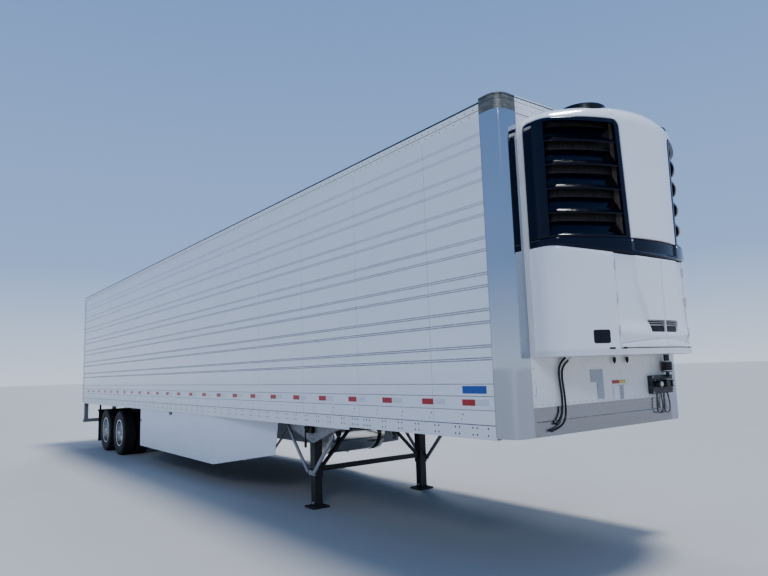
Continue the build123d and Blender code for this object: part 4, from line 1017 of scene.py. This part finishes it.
def fan_blade(start):
    rings = []
    for step in range(FAN_STEPS + 1):
        share = step / FAN_STEPS
        turn = start + 0.35 * share ** 1.5
        out = Vector((math.cos(turn), math.sin(turn), 0))
        ahead = Vector((-out.y, out.x, 0)) * (0.030 + 0.035 * share)
        hub = Vector((FAN_X, FAN_Y, FAN_LOW + 0.046)) + out * (0.045 + (RIM - 0.012 - 0.045) * share)
        lean = Vector((0, 0, 0.020 - 0.008 * share))
        rings.append([hub + ahead * a + lean * b for a, b in BLADE_SECTION])
    return rings


def unit_fans():
    fan = Shape()
    centre, rise = (FAN_X, FAN_Y, FAN_LOW), FAN_TOP - FAN_LOW - DOME
    fan.lathe([(0, FAN_R), (rise - 0.012, FAN_R), (rise - 0.004, FAN_R - 0.003), (rise, FAN_R - 0.009),
               (rise - 0.001, RIM + 0.002), (rise - 0.006, RIM), (0, RIM)], centre, Z_AXIS, 64, closed=True)
    fan.lathe([(0, RIM + 0.002), (0.004, RIM + 0.002)], centre, Z_AXIS, 48)
    fan.lathe([(-0.010, CAP_R), (-0.003, 0.070), (-0.001, 0.060), (0, 0.020)],
              (FAN_X, FAN_Y, FAN_TOP), Z_AXIS, 40)
    for ring in range(1, GUARD_RINGS):
        radius = CAP_R + (RIM - CAP_R) * ring / GUARD_RINGS
        wire = ((0, WIRE), (WIRE, 0), (0, -WIRE), (-WIRE, 0))
        fan.rings([[(FAN_X + (radius + out) * a, FAN_Y + (radius + out) * b, dome(radius) + up)
                    for out, up in wire] for a, b in circle(48)], closed=True)
    reach = [HUB_R + (RIM + 0.003 - HUB_R) * step / 6 for step in range(7)]
    for a, b in circle(SPOKES):
        fan.tube([(FAN_X + r * a, FAN_Y + r * b, dome(r) - 0.0040) for r in reach], 0.0028, 8)
    fan.lathe([(0, HUB_R), (0.040, HUB_R), (0.046, 0.042)], (FAN_X, FAN_Y, FAN_LOW + 0.020), Z_AXIS, 32)
    for k in range(FAN_BLADES):
        fan.rings(fan_blade(2 * math.pi * k / FAN_BLADES))
    fan.both().piece("fan_guard_wires", "black_plastic", "frame_black", replaces=("fan_guards",))


unit_fans()

# Small fittings on the unit: sight window in its frame, drain slots, latches
SLOTS = ((0.497, 0.535), (0.607, 0.658))
SIGHT = ((0, 0.779, 0.643, 1.907, 2.018, 0.0012, 0.004, 0.016),
         (1, 0.772, 0.736, 1.914, 2.011, 0.0022, 0.003, 0.010),
         (1, 0.729, 0.650, 1.914, 2.011, 0.0022, 0.003, 0.010))


def unit_fittings():
    fit, latch = Shape(), Shape()

    def patch(run0, run1, z0, z1, out, thick, corner=0.003):
        ends = [corner * share for share in (0, 0.08, 0.3, 0.6, 1)]
        inner = [run0 + (run1 - run0) * k / 8 for k in range(2, 7)]

        def place(run, part, back):
            trim = rolled(min(run - run0, run1 - run), corner)
            return shell(run, (z0 + z1) / 2 + part * ((z1 - z0) / 2 - trim), back - out)

        wrap(fit, [run0 + d for d in ends] + inner + [run1 - d for d in ends[::-1]], [-1, -0.5, 0, 0.5, 1],
             place, thick)

    for kind, y0, y1, z0, z1, out, thick, corner in SIGHT:
        fit.kind = kind
        patch(-run_at(y0), -run_at(y1), z0, z1, out, thick, corner)
    fit.kind = 0
    for side in (-1, 1):
        for ends in SLOTS:
            run0, run1 = sorted(side * run_at(y) for y in ends)
            patch(run0, run1, PAN_TOP - 0.002, PAN_TOP + 0.012, 0.0015, 0.010)
        x, y = plan(side * 0.366, -0.002)
        for radius, high, sides in ((0.011, 0.010, 16), (0.006, 0.014, 6)):
            latch.bolt((x, y, BELT_TOP - 0.022), (x - ARC_X, y, 0), radius, high, sides)
    fit.piece("unit_fittings", "black_plastic gel_dark", "unit_dark")
    latch.piece("unit_latches", "bright", "unit_dark")


unit_fittings()

# Twin tyres with ribs and shoulder blocks, and the fittings of the wheels
OUT_Y, TWIN = HALF - 0.1435, 0.318
MOUNT_Y = OUT_Y - TWIN / 2
TYRE_SIDE = ((0.108, 0.286, 0), (0.121, 0.297, 0), (0.128, 0.318, 0), (0.1365, 0.372, 0), (0.138, 0.400, 0),
             (0.1365, 0.428, 0), (0.1335, 0.446, 0), (0.1345, 0.454, 1), (0.1335, 0.470, 1), (0.124, 0.490, 1),
             (0.114, 0.4985, 1), (0.100, 0.4995, 1))
GROOVE_SIDE = ((0.0075, 0.5, 0), (0.0055, 0.487, 0), (-0.0055, 0.487, 0), (-0.0075, 0.5, 0))
TREAD_GROOVES = (0.080, 0.028)
TREAD_STEPS, LUG_DEPTH = 168, 0.009
RIM_LIP = ((0.1195, 0.3005), (0.1225, 0.299), (0.1228, 0.292), (0.120, 0.284), (0.112, 0.2755),
           (0.100, 0.2745), (0.100, 0.2765), (0.114, 0.280), (0.118, 0.296))
HUB_CAP = ((0, 0.034), (0.004, 0.034), (0.006, 0.030), (0.006, 0.0))
NUTS, NUT, STUD = (10, 0.1425, 0.5), (0.0185, 0.024), (0.011, 0.016, 12)
HUB_BOLTS, HUB_BOLT = (6, 0.070), (0.007, 0.008)
NUT_OUT, STUD_OUT, HUB_OUT, CAP_OUT = 0.0215, 0.0455, 0.148, 0.168
STEM, STEM_R = ((0.235, 0.060), (0.228, 0.095), (0.224, 0.130)), 0.0045


def tyre_profile():
    half = list(TYRE_SIDE)
    half += [(centre + a, r, lug) for centre in TREAD_GROOVES for a, r, lug in GROOVE_SIDE]
    return [(-a, r, lug) for a, r, lug in half] + half[::-1]


def tyre(shape, x, y):
    rings = []
    for across, radius, lug in tyre_profile():
        ring = []
        for k, (up, ahead) in enumerate(circle(TREAD_STEPS, start=0.5 if lug and across > 0 else 0)):
            reach = radius - (LUG_DEPTH if lug and k % 4 == 0 else 0)
            ring.append((x + reach * ahead, y + across, WHEEL_R + reach * up))
        rings.append(ring)
    shape.rings(rings, closed=True)


def wheel(place, side):
    node, body = "tyres_" + place, "wheel_" + place
    low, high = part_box(node)
    x = (low.x + high.x) / 2
    pair, metal = Shape(), Shape()
    for y in (OUT_Y, OUT_Y - TWIN):
        tyre(pair, x, y)
    pair.on_side(side).piece(node + "_tread", "tyre_rubber", "tyre", body=body, smooth=30, replaces=(node,))
    for up, ahead in circle(*NUTS):
        metal.bolt((x + ahead, MOUNT_Y + NUT_OUT, WHEEL_R + up), Y_AXIS, *NUT)
        metal.bolt((x + ahead, MOUNT_Y + STUD_OUT, WHEEL_R + up), Y_AXIS, *STUD)
    for up, ahead in circle(*HUB_BOLTS):
        metal.bolt((x + ahead, MOUNT_Y + HUB_OUT, WHEEL_R + up), Y_AXIS, *HUB_BOLT)
    metal.lathe(HUB_CAP, (x, MOUNT_Y + CAP_OUT, WHEEL_R), Y_AXIS, 28)
    metal.lathe(RIM_LIP, (x, OUT_Y, WHEEL_R), Y_AXIS, 96, closed=True)
    metal.tube([(x + ahead, MOUNT_Y + out, WHEEL_R) for ahead, out in STEM], STEM_R, 8)
    metal.on_side(side).piece("wheel_fittings_" + place, "bright", "rim_alu", body=body)


for end in ("front", "rear"):
    wheel(end + "_left", 1)
    wheel(end + "_right", -1)

# Nose: rivets, the ridge on the band, blank stickers and drain valves
EDGE_Y = FRONT_Y - 0.03
FOOT_PITCH, EDGE_PITCH, BAND_PITCH = EDGE_Y / 12, 0.115, 0.150
NOSE_RIVET, BAND_RIVET = (0.005, 0.0022), (0.0055, 0.0022)
VALVE = ((-0.050, 0.002), (-0.030, 0.012), (-0.026, 0.0145), (0.010, 0.0145), (0.012, 0.012))
VALVES_Y, VALVE_Z = (0.100, 0.310), 1.785
RIDGE_Z, RIDGE = 1.271, ((-0.002, -0.008), (0.004, 0), (-0.002, 0.008))
LABELS = ((0, -1.02, -0.90, 1.45, 1.57), (1, -0.26, -0.07, 1.575, 1.69), (1, -0.17, -0.07, 1.42, 1.575),
          (2, 0.07, 0.18, 1.55, 1.58), (3, 0.18, 0.29, 1.55, 1.58), (0, 0.08, 0.18, 1.40, 1.53),
          (1, 0.185, 0.24, 1.40, 1.53), (0, 0.245, 0.40, 1.40, 1.53))


def front_face():
    studs, ridge, labels, valves = Shape(), Shape(), Shape(), Shape()
    face, band = NOSE - SINK, BAND_MAX.x - SINK
    for y in along(-EDGE_Y, EDGE_Y + 0.001, FOOT_PITCH):
        studs.rivet((face, y, BAND_MAX.z + 0.022), X_AXIS, *NOSE_RIVET)
    for z in along(BAND_MAX.z + 0.10, CAP_LOW - 0.05, EDGE_PITCH):
        for y in (-EDGE_Y, EDGE_Y):
            studs.rivet((face, y, z), X_AXIS, *NOSE_RIVET)
    for y in along(-EDGE_Y + 0.04, EDGE_Y, BAND_PITCH):
        for z in (RAIL_LOW + 0.040, BAND_MAX.z - 0.022):
            studs.rivet((band, y, z), X_AXIS, *BAND_RIVET)
    ridge.rings([[(BAND_MAX.x + out, y, RIDGE_Z + up) for out, up in RIDGE] for y in (-EDGE_Y, EDGE_Y)])
    for kind, y0, y1, z0, z1 in LABELS:
        labels.kind = kind
        labels.box(NOSE + 0.0002, NOSE + 0.0012, y0, y1, z0, z1)
    for y in VALVES_Y:
        valves.lathe(VALVE, (DRAIN_X, y, VALVE_Z), Z_AXIS, 20)
    studs.piece("nose_rivets", "rivet_pale", "white_rail")
    ridge.piece("nose_band_ridge", "brushed", "polished_steel")
    labels.piece("nose_labels", "white_label grey_label red_label yellow_label", "white_rail")
    valves.piece("drain_valves", "rubber", "rubber")


front_face()

# Coupling box: collars, bolts, the socket's lid and its pin, and bands on the separator
BOX_MID = HALF - 0.2255 - 0.190
BOX_FACE = NOSE + 0.045
COUPLING_Z = 1.520
COUPLINGS = ((BOX_MID - 0.120, 0.036), (BOX_MID, 0.042), (BOX_MID + 0.110, 0.036))
LID = ((-0.044, 1.560), (0.044, 1.560), (0.044, 1.5655), (-0.044, 1.5655))
SEPARATOR_X, SEPARATOR_Y = NOSE + 0.052, BOX_MID + 0.090


def coupling_fittings():
    dark, metal = Shape(), Shape()
    for y, radius in COUPLINGS:
        dark.lathe([(0, radius + 0.010), (0.006, radius + 0.010), (0.008, radius + 0.007)],
                   (BOX_FACE, y, COUPLING_Z), X_AXIS, 36)
        for across, up in circle(4, radius + 0.016, 0.5):
            metal.bolt((BOX_FACE + 0.006, y + across, COUPLING_Z + up), X_AXIS, 0.0055, 0.005)
    for y in (BOX_MID - 0.186, BOX_MID + 0.166):
        for z in (1.440, 1.590):
            metal.bolt((BOX_FACE, y, z), X_AXIS, 0.008, 0.006)
    for y in (COUPLINGS[0][0], COUPLINGS[2][0]):
        metal.lathe([(0.050, 0.026), (0.058, 0.026), (0.061, 0.022)], (BOX_FACE, y, COUPLING_Z), X_AXIS)
    metal.rings([[(BOX_FACE + x, BOX_MID + y, z) for y, z in LID] for x in (0.004, 0.066)])
    metal.tube([(BOX_FACE + 0.03, BOX_MID + y, 1.5625) for y in (-0.046, 0.046)], 0.005, 12)
    for z in (1.642, 1.738):
        metal.lathe([(0, 0.0495), (0.008, 0.0495)], (SEPARATOR_X, SEPARATOR_Y, z), Z_AXIS, 40)
    for k in range(3):
        dark.lathe([(0, 0.0485), (0.004, 0.051), (0.008, 0.0485)],
                   (SEPARATOR_X, SEPARATOR_Y, 1.660 + 0.024 * k), Z_AXIS, 40)
    dark.piece("coupling_collars", "black_plastic", "frame_black")
    metal.piece("coupling_bolts", "zinc", "zinc")


coupling_fittings()

# Corner posts: folds drawn as painted shade lines, and fixings, down both edges; caps and front rail with a
# dark seal line, painted shade lines at ribs, a painted shadow line under the cap, and rivets
POST_R = 0.120
# A dark seal line near the top, then painted shade lines at the ribs
CAP_LINES = ((4.109, 4.119), (4.072, 4.076), (4.022, 4.024))
# Painted shadow line under the cap
CAP_SHADOW_LINE = ((CAP_LOW - 0.016, CAP_LOW - 0.010),)
FOLDS, CAP_RIVETS = (0.205, 0.128), (0.205, 0.165, 0.128)
POST_PITCH, RAIL_END_PITCH = 0.152, 0.062
FLAT = 0.0006


def post_details():
    lines, studs, rail = Shape(), Shape(), Shape()
    low = RAIL_LOW + 0.01
    # Painted shade lines down the folds
    for x in [NOSE - back for back in FOLDS]:
        lines.box(x - 0.0012, x + 0.0012, HALF - 0.004, HALF - 0.0002, low, CAP_LOW)
    lines.box(NOSE - 0.004, NOSE - 0.0002, FRONT_Y + 0.004, FRONT_Y + 0.007, low, CAP_LOW)
    path = [(POST_REAR + 0.002, HALF, 0, 1)]
    for k in range(11):
        a, b = math.sin(k * math.pi / 20), math.cos(k * math.pi / 20)
        path.append((NOSE - POST_R + POST_R * a, HALF - POST_R + POST_R * b, a, b))
    path.append((NOSE, FRONT_Y + 0.001, 1, 0))
    for z0, z1 in CAP_LINES:
        section = ((0.0002, z0), (0.0002, z1), (-0.003, z1), (-0.003, z0))
        lines.rings([[(x + a * out, y + b * out, z) for out, z in section] for x, y, a, b in path])
    lines.both()
    for z0, z1 in CAP_LINES + CAP_SHADOW_LINE:
        lines.box(NOSE - 0.003, NOSE + 0.0003, -FRONT_Y + 0.001, FRONT_Y - 0.001, z0, z1)
    for z in along(RAIL_LOW + 0.05, CAP_LOW - 0.03, POST_PITCH):
        studs.rivet((NOSE - 0.2165, HALF - FLAT, z), Y_AXIS, 0.0042, FLAT)
    for z in (CAP_LOW + 0.030, CAP_LOW + 0.075, CAP_LOW + 0.120):
        for back in CAP_RIVETS:
            studs.rivet((NOSE - back, HALF - FLAT, z), Y_AXIS, 0.006, FLAT)
    for y in along(-FRONT_Y + 0.03, FRONT_Y, RAIL_END_PITCH):
        for z in (4.100, 4.045, 3.995):
            rail.rivet((NOSE - FLAT, y, z), X_AXIS, 0.006, 0.0022)
    lines.piece("post_shade_and_seal_lines", "seal_and_shade_dark", "polished_steel")
    studs.both().piece("post_rivets", "rivet_pale", "polished_steel")
    rail.piece("front_rail_rivets", "rivet_pale", "white_rail")


post_details()

# Landing gear: bolts on plates, pins, collars and welds, and the fittings of the gearbox
LEG_Y = HALF - 0.4015
PLATE_Y, BRACE_Y = LEG_Y + 0.066, LEG_Y + 0.084
CORNERS = ((-1, -1), (1, -1), (1, 1), (-1, 1))
TOP_BOLT_Z, LEG_BOLTS_Z = 1.098, (0.88, 0.94, 1.00, 1.06)
TOP_BOLTS = (-0.80, -0.66, -0.50, -0.30, -0.10, 0.10, 0.30, 0.50, 0.70, 0.88)
BRACE_BOLTS = ((0.5, 0.925), (0.565, 0.955), (-0.57, 0.980), (-0.635, 1.020))
FOOT_BOLTS = ((-0.03, 0.445), (0.04, 0.445), (0.0, 0.470))
LEG_END = ((0.482, 0.0625), (0.486, 0.0640), (0.494, 0.0640), (0.498, 0.0590))
FOOT_WELD = ((0.050, 0.014), (0.085, 0.024))
COLLAR = ((0, 0.0625), (0.002, 0.0640), (0.008, 0.0640), (0.010, 0.0625))


def landing_details():
    bolts, dark, crank = Shape(), Shape(), Shape()

    def square(section, low=0.0):
        dark.rings([[(LEG_X + sx * w, LEG_Y + sy * w, low + z) for sx, sy in CORNERS] for z, w in section])

    for ahead in TOP_BOLTS:
        place = (LEG_X + ahead, PLATE_Y, TOP_BOLT_Z)
        bolts.bolt(place, Y_AXIS, 0.012, 0.011)
        bolts.lathe([(0, 0.017), (0.003, 0.017)], place, Y_AXIS, 20)
    for places, radius in ((BRACE_BOLTS, 0.012), (FOOT_BOLTS, 0.013)):
        for ahead, z in places:
            bolts.bolt((LEG_X + ahead, BRACE_Y, z), Y_AXIS, radius, radius - 0.001)
    for z in LEG_BOLTS_Z:
        for ahead in (-0.040, 0.040):
            bolts.bolt((LEG_X + ahead, PLATE_Y, z), Y_AXIS, 0.009, 0.009)
    for side in (-1, 1):
        bolts.lathe([(0, 0.016), (0.012, 0.016), (0.014, 0.012)], (LEG_X, LEG_Y + side * 0.053, 0.060),
                    (0, side, 0), 24)
    square(LEG_END)
    for z in (0.392, 0.476):
        square(COLLAR, z)
    for sx, sy in CORNERS:
        dark.tube([(LEG_X + sx * out, LEG_Y + sy * out, z) for out, z in FOOT_WELD], 0.006, 8)
    for x, z in ((-0.05, -0.05), (0.06, -0.05), (0.06, 0.05), (-0.05, 0.05)):
        crank.bolt((LEG_X + x, -PLATE_Y - 0.045, 1.030 + z), (0, -1, 0), 0.008, 0.008)
    crank.lathe([(0, 0.0165), (0.110, 0.0165)], (LEG_X - 0.050, -PLATE_Y - 0.063, 0.772), Z_AXIS, 20)
    bolts.both().piece("landing_bolts", "zinc", "brace_grey")
    dark.both().piece("landing_welds", "chassis", "frame_black")
    crank.piece("gearbox_fittings", "chassis", "frame_black")


landing_details()

# Fuel tank: end seams, filler neck with its cap, drain plug and strap bolts
NECK_LEAN = math.radians(52)
NECK = ((0, 0.036), (0.026, 0.036), (0.026, 0.045), (0.050, 0.045), (0.054, 0.040))
PLUG = ((0, 0.030), (0.012, 0.030), (0.014, 0.024))
STRAP_Y, STRAP_OUT = 0.36, 0.0135


def tank_details():
    low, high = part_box("fuel_tank")
    mid, radius = (low + high) / 2, (high.z - low.z) / 2
    seams, fittings = Shape(), Shape()
    seam = [(0.006, radius + 0.003), (0.014, radius + 0.003), (0.016, radius), (0.004, radius)]
    for y, inward, ring in ((low.y, 1, seam), (high.y, -1, [(-a, r) for a, r in reversed(seam)])):
        seams.lathe(ring, (mid.x, y, mid.z), Y_AXIS, 72, closed=True)
        seams.lathe([(0.002, radius - 0.020), (-0.0015, radius - 0.024), (-0.0015, radius - 0.06)],
                    (mid.x, y, mid.z), (0, inward, 0), 72)
    neck = Vector((math.cos(NECK_LEAN), 0, math.sin(NECK_LEAN)))
    base = Vector((mid.x, low.y + 0.30, mid.z)) + neck * (radius - 0.004)
    fittings.lathe(NECK, base, neck, 36)
    fittings.lathe(PLUG, (mid.x, mid.y - 0.05, mid.z - radius - 0.012), Z_AXIS, 24)
    for y in (mid.y - STRAP_Y, mid.y + STRAP_Y):
        for x in (mid.x - radius - STRAP_OUT, mid.x + radius + STRAP_OUT):
            for dy in (-0.018, 0.018):
                fittings.bolt((x, y + dy, mid.z - 0.020), Z_AXIS, 0.008, 0.020)
    seams.piece("tank_seams", "tank_alu", "tank_alu")
    fittings.piece("tank_fittings", "zinc", "zinc")


tank_details()

# Side skirts: bolts, a marker lamp at the rear edge and an oval marker under the rail
BEND_X, SKIRT_PITCH = NOSE - 6.450, 0.205
MARKER_X, MARKER_Z, SIDE_LAMP = NOSE - 8.557, 1.077, (0.045, 0.865)
SIDE_LENS = ((0, 0.020), (0.006, 0.019), (0.009, 0.014), (0.010, 0.004))
SIDE_RIM = ((0, 0.026), (0.003, 0.026), (0.004, 0.022))
MARKER_RIM = ((0.082, 0.034, -0.001), (0.082, 0.034, 0.008), (0.076, 0.028, 0.011))
MARKER_LENS = ((0.062, 0.017, 0.010), (0.058, 0.014, 0.0135), (0.040, 0.006, 0.0145))


def skirt_details():
    low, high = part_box("side_skirts")
    face = high.y
    bolts, lamp = Shape(), Shape()
    for x in along(low.x + 0.12, BEND_X - 0.05, SKIRT_PITCH):
        bolts.rivet((x, face - SINK, high.z - 0.022), Y_AXIS, 0.007, 0.003)
    for x in (low.x + 0.9, low.x + 2.1, low.x + 3.3, BEND_X - 0.25):
        for z in (0.70, 0.95):
            bolts.bolt((x, face - SINK, z), Y_AXIS, 0.007, 0.004)
    for kind, profile in enumerate((SIDE_LENS, SIDE_RIM)):
        lamp.kind = kind
        lamp.lathe(profile, (low.x + SIDE_LAMP[0], face - SINK, SIDE_LAMP[1]), Y_AXIS, 24)
    for kind, section in ((1, MARKER_RIM), (2, MARKER_LENS)):
        lamp.kind = kind
        lamp.rings([[(MARKER_X + wide * a, face + out, MARKER_Z + tall * b) for a, b in circle(24)]
                    for wide, tall, out in section])
    bolts.both().piece("skirt_bolts", "zinc", "skirt_white")
    lamp.both().piece("skirt_lamps", "amber_lens black_plastic gel_grey", "lamp_red")


skirt_details()

# Rear end: lamp lenses and rings, the blank plate, and tape on the sill and the guard
LAMPS_Y, LAMP_Z = (0.480, 0.600, 0.720), RAIL_LOW + 0.110
REARWARD = (-1, 0, 0)
LENS = ((0.0115, 0.043), (0.015, 0.041), (0.0175, 0.030), (0.0185, 0.002))
LAMP_RING = ((0, 0.0535), (0.009, 0.0535), (0.0125, 0.0495), (0.0125, 0.0435))
GUARD_TAPE, SILL_TAPE = 0.160, 0.145


def rear_details():
    lens, ring, plate, strips = Shape(), Shape(), Shape(), Shape()
    for y in [side * out for side in (-1, 1) for out in LAMPS_Y]:
        lens.lathe(LENS, (TAIL, y, LAMP_Z), REARWARD, 36)
        ring.lathe(LAMP_RING, (TAIL, y, LAMP_Z), REARWARD, 40)
        for across, up in circle(6, 0.014) + circle(12, 0.028):
            lens.rivet((TAIL - 0.0165, y + across, LAMP_Z + up), REARWARD, 0.004, 0.0025, 10)
    plate.box(TAIL - 0.004, TAIL, -0.152, 0.152, RAIL_LOW + 0.025, RAIL_LOW + 0.181)
    plate.kind = 1
    plate.box(TAIL - 0.006, TAIL - 0.003, -0.150, 0.150, RAIL_LOW + 0.028, RAIL_LOW + 0.178)
    low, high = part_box("rear_guard")
    for count, y in enumerate(along(-high.y + 0.02, high.y - 0.16, GUARD_TAPE)):
        strips.kind = count % 2
        strips.box(low.x - 0.0016, low.x + 0.001, y, y + GUARD_TAPE - 0.002, low.z + 0.020, low.z + 0.070)
    for side in (-1, 1):
        for step in range(8):
            strips.kind = step % 2
            y = side * (0.04 + SILL_TAPE * step)
            y0, y1 = sorted((y, y + side * (SILL_TAPE - 0.002)))
            strips.box(TAIL - 0.0012, TAIL + 0.001, y0, y1, RAIL_LOW + 0.188, RAIL_LOW + 0.238)
    lens.piece("rear_lenses", "red_lens", "lamp_red")
    ring.piece("rear_lamp_rings", "black_plastic", "frame_black")
    plate.piece("blank_plate", "black_plastic white_label", "polished_steel", bevel=0.0008)
    strips.piece("rear_tape", "red_tape silver_tape", "polished_steel")


rear_details()

# Cargo doors: seals round the edge, hinge bolts, rod guides with bolts, grips and tape
HINGES, GUIDES = 5, 6
POST_IN = HALF - 0.075
RODS = (0.250, POST_IN - 0.3705)
HINGE_BOLTS, HINGE_END, ROD_END = (0.035, 0.095, 0.155, 0.215), 0.165, 0.070
GRIP = ((0.040, -0.225), (0.052, -0.19), (0.052, -0.09), (0.040, -0.05))


def door_details(side, name):
    low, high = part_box("rear_door_left")
    seal, metal, strips = Shape(), Shape(), Shape()
    for y0, y1, z0, z1 in ((low.y + 0.004, high.y - 0.004, low.z + 0.006, low.z + 0.026),
                           (low.y + 0.004, high.y - 0.004, high.z - 0.026, high.z - 0.006),
                           (low.y + 0.004, low.y + 0.022, low.z + 0.026, high.z - 0.026),
                           (high.y - 0.022, high.y - 0.004, low.z + 0.026, high.z - 0.026)):
        seal.box(TAIL - 0.0018, TAIL + 0.001, y0, y1, z0, z1)
    for k in range(HINGES):
        z = low.z + HINGE_END + (high.z - low.z - 2 * HINGE_END) * k / (HINGES - 1)
        for dy in HINGE_BOLTS:
            for dz in (-0.016, 0.016):
                metal.bolt((TAIL - 0.0145, POST_IN - dy, z + dz), REARWARD, 0.007, 0.006)
    for rod_y in RODS:
        for k in range(GUIDES):
            z = low.z + ROD_END + (high.z - low.z - 2 * ROD_END) * k / (GUIDES - 1)
            for dy in (-0.030, 0.030):
                metal.bolt((TAIL - 0.0035, rod_y + dy, z), REARWARD, 0.006, 0.005)
            metal.box(TAIL - 0.004, TAIL, rod_y - 0.042, rod_y + 0.042, z - 0.022, z + 0.022)
        metal.tube([(TAIL - out, rod_y + across, low.z + 0.325) for out, across in GRIP], 0.007)
        metal.box(TAIL - 0.010, TAIL, rod_y - 0.245, rod_y - 0.195, low.z + 0.285, low.z + 0.365)
    for step in range(6):
        strips.kind = step % 2
        y = low.y + 0.05 + TAPE_LONG * step
        strips.box(TAIL - 0.0012, TAIL + 0.001, y, y + TAPE_LONG - 0.002, low.z + 0.070, low.z + 0.120)
    for shape, title, finish, slot in ((seal, "door_seal_", "rubber", "rubber"),
                                       (metal, "door_bolts_", "zinc", "zinc"),
                                       (strips, "door_tape_", "red_tape silver_tape", "white_rail")):
        shape.on_side(side).piece(title + name, finish, slot, body="cargo_door_" + name)


door_details(1, "left")
door_details(-1, "right")

# Inside: ribbed floor and kick plates along the walls
RIBS, RIB_HALF, KICK_H, KICK_PITCH = 48, 0.011, 0.305, 0.305


def load_space():
    low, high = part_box("floor")
    ribs, plates = Shape(), Shape()
    for k in range(RIBS):
        y = low.y + 0.05 + (high.y - low.y - 0.10) * k / (RIBS - 1)
        ribs.box(low.x + 0.16, high.x - 0.12, y - RIB_HALF, y + RIB_HALF, high.z - 0.001, high.z + 0.0035)
    plates.box(FRAME_FRONT + 0.01, NOSE - 0.11, LINER - 0.003, LINER + 0.001,
               high.z + 0.002, high.z + KICK_H)
    for z in (high.z + 0.03, high.z + 0.28):
        for x in along(FRAME_FRONT + 0.10, NOSE - 0.2, KICK_PITCH):
            plates.rivet((x, LINER - 0.003, z), (0, -1, 0), 0.006, 0.002, 6)
    ribs.piece("floor_ribs", "floor_alu", "floor_alu")
    plates.both().piece("kick_plates", "mill_alu", "floor_alu")


load_space()

# CAD nodes that keep their shape: each takes a look and softened edges of a width
KEPT = (
    ("white_rail", 0.002, "roof"),
    ("white_rail", 0.0015, "bottom_rails"),
    ("white_rail", 0.003, "top_rails front_top_rail"),
    ("white_wall", 0, "front_wall"),
    ("white_skin", 0.003, "rear_door_left rear_door_right"),
    ("skirt_white", 0.001, "side_skirts"),
    ("mirror", 0.002, "corner_posts rear_posts rear_cross_rails"),
    ("cast_alu", 0.008, "corner_caps"),
    ("brushed", 0.002, "nose_band"),
    ("floor_alu", 0, "floor"),
    ("mill_alu", 0, "floor_beams"),
    ("chassis", 0.001, "slide_rails"),
    ("chassis", 0.002, "coupler_plate axles"),
    ("chassis", 0.003, "bogie_sides landing_legs"),
    ("chassis", 0.004, "bogie_cross_beams landing_feet"),
    ("chassis", 0.006, "trailing_arms"),
    ("rubber", 0.001, "mud_flaps tank_straps"),
    ("rubber", 0.004, "dock_bumpers"),
    ("rubber", 0.012, "air_springs"),
    ("rim_alu", 0.002, "rims_front_left rims_front_right rims_rear_left rims_rear_right"),
    ("galvanised", 0.004, "rear_guard"),
    ("galvanised", 0.002, "landing_braces"),
    ("galvanised", 0.001, "skirt_brackets"),
    ("zinc", 0.0015, "door_hardware_left door_hardware_right"),
    ("tank_alu", 0.02, "fuel_tank"),
    ("pan_white", 0.002, "unit_frame"),
    ("coil_painted_shade", 0, "unit_coils"),
    ("engine_grey", 0.01, "engine_block"),
    ("cast_grey", 0.002, "nose_couplings"),
    ("red_lens", 0.003, "red_lamps"),
)
for look, width, names in KEPT:
    for name in names.split():
        nodes[name].data.materials.clear()
        nodes[name].data.materials.append(looks[look])
        if width:
            soften(nodes[name], width)

# Pale floor and soft light
SKY, KEY, FILL = 1.0, 2.6, 0.5
HORIZON, HAZE, ZENITH = ((0.0, (0.62, 0.70, 0.82, 1)), (0.16, (0.31, 0.44, 0.70, 1)),
                         (0.8, (0.13, 0.25, 0.54, 1)))
SOFTNESS = math.radians(14)
WARM, COOL = (1.0, 0.975, 0.94), (0.95, 0.97, 1.0)
LIGHTS = (("key", (0.6, 0.92, 4.1), KEY, WARM), ("fill", (3.0, -2.4, 2.2), FILL, COOL),
          ("rear_fill", (-3.0, 1.5, 2.0), FILL, COOL))
FLOOR_REACH = 300


def make_stage():
    mesh = bpy.data.meshes.new("ground")
    mesh.from_pydata([(sx * FLOOR_REACH, sy * FLOOR_REACH, 0) for sx, sy in CORNERS], [], [(0, 1, 2, 3)])
    material("ground_paint", (0.42, 0.415, 0.40), 0.7, vary=0.02, size=0.3)
    mesh.materials.append(looks["ground_paint"])
    show("ground", mesh)
    world = bpy.data.worlds.new("soft_sky")
    world.use_nodes = True
    tree = world.node_tree
    back = tree.nodes["Background"]
    where = tree.nodes.new("ShaderNodeTexCoord")
    parts = tree.nodes.new("ShaderNodeSeparateXYZ")
    ramp = tree.nodes.new("ShaderNodeValToRGB")
    low, high = ramp.color_ramp.elements
    low.position, low.color = HORIZON
    high.position, high.color = ZENITH
    ramp.color_ramp.elements.new(HAZE[0]).color = HAZE[1]
    tree.links.new(where.outputs["Generated"], parts.inputs["Vector"])
    tree.links.new(parts.outputs["Z"], ramp.inputs["Fac"])
    tree.links.new(ramp.outputs["Color"], back.inputs["Color"])
    back.inputs["Strength"].default_value = SKY
    bpy.context.scene.world = world
    bpy.context.scene.view_settings.look = "AgX - Medium High Contrast"
    for name, toward, power, color in LIGHTS:
        light = bpy.data.lights.new(name, "SUN")
        light.angle = SOFTNESS
        light.energy = power
        light.color = color
        show(name, light).rotation_euler = Vector(toward).to_track_quat("Z", "Y").to_euler()


make_stage()
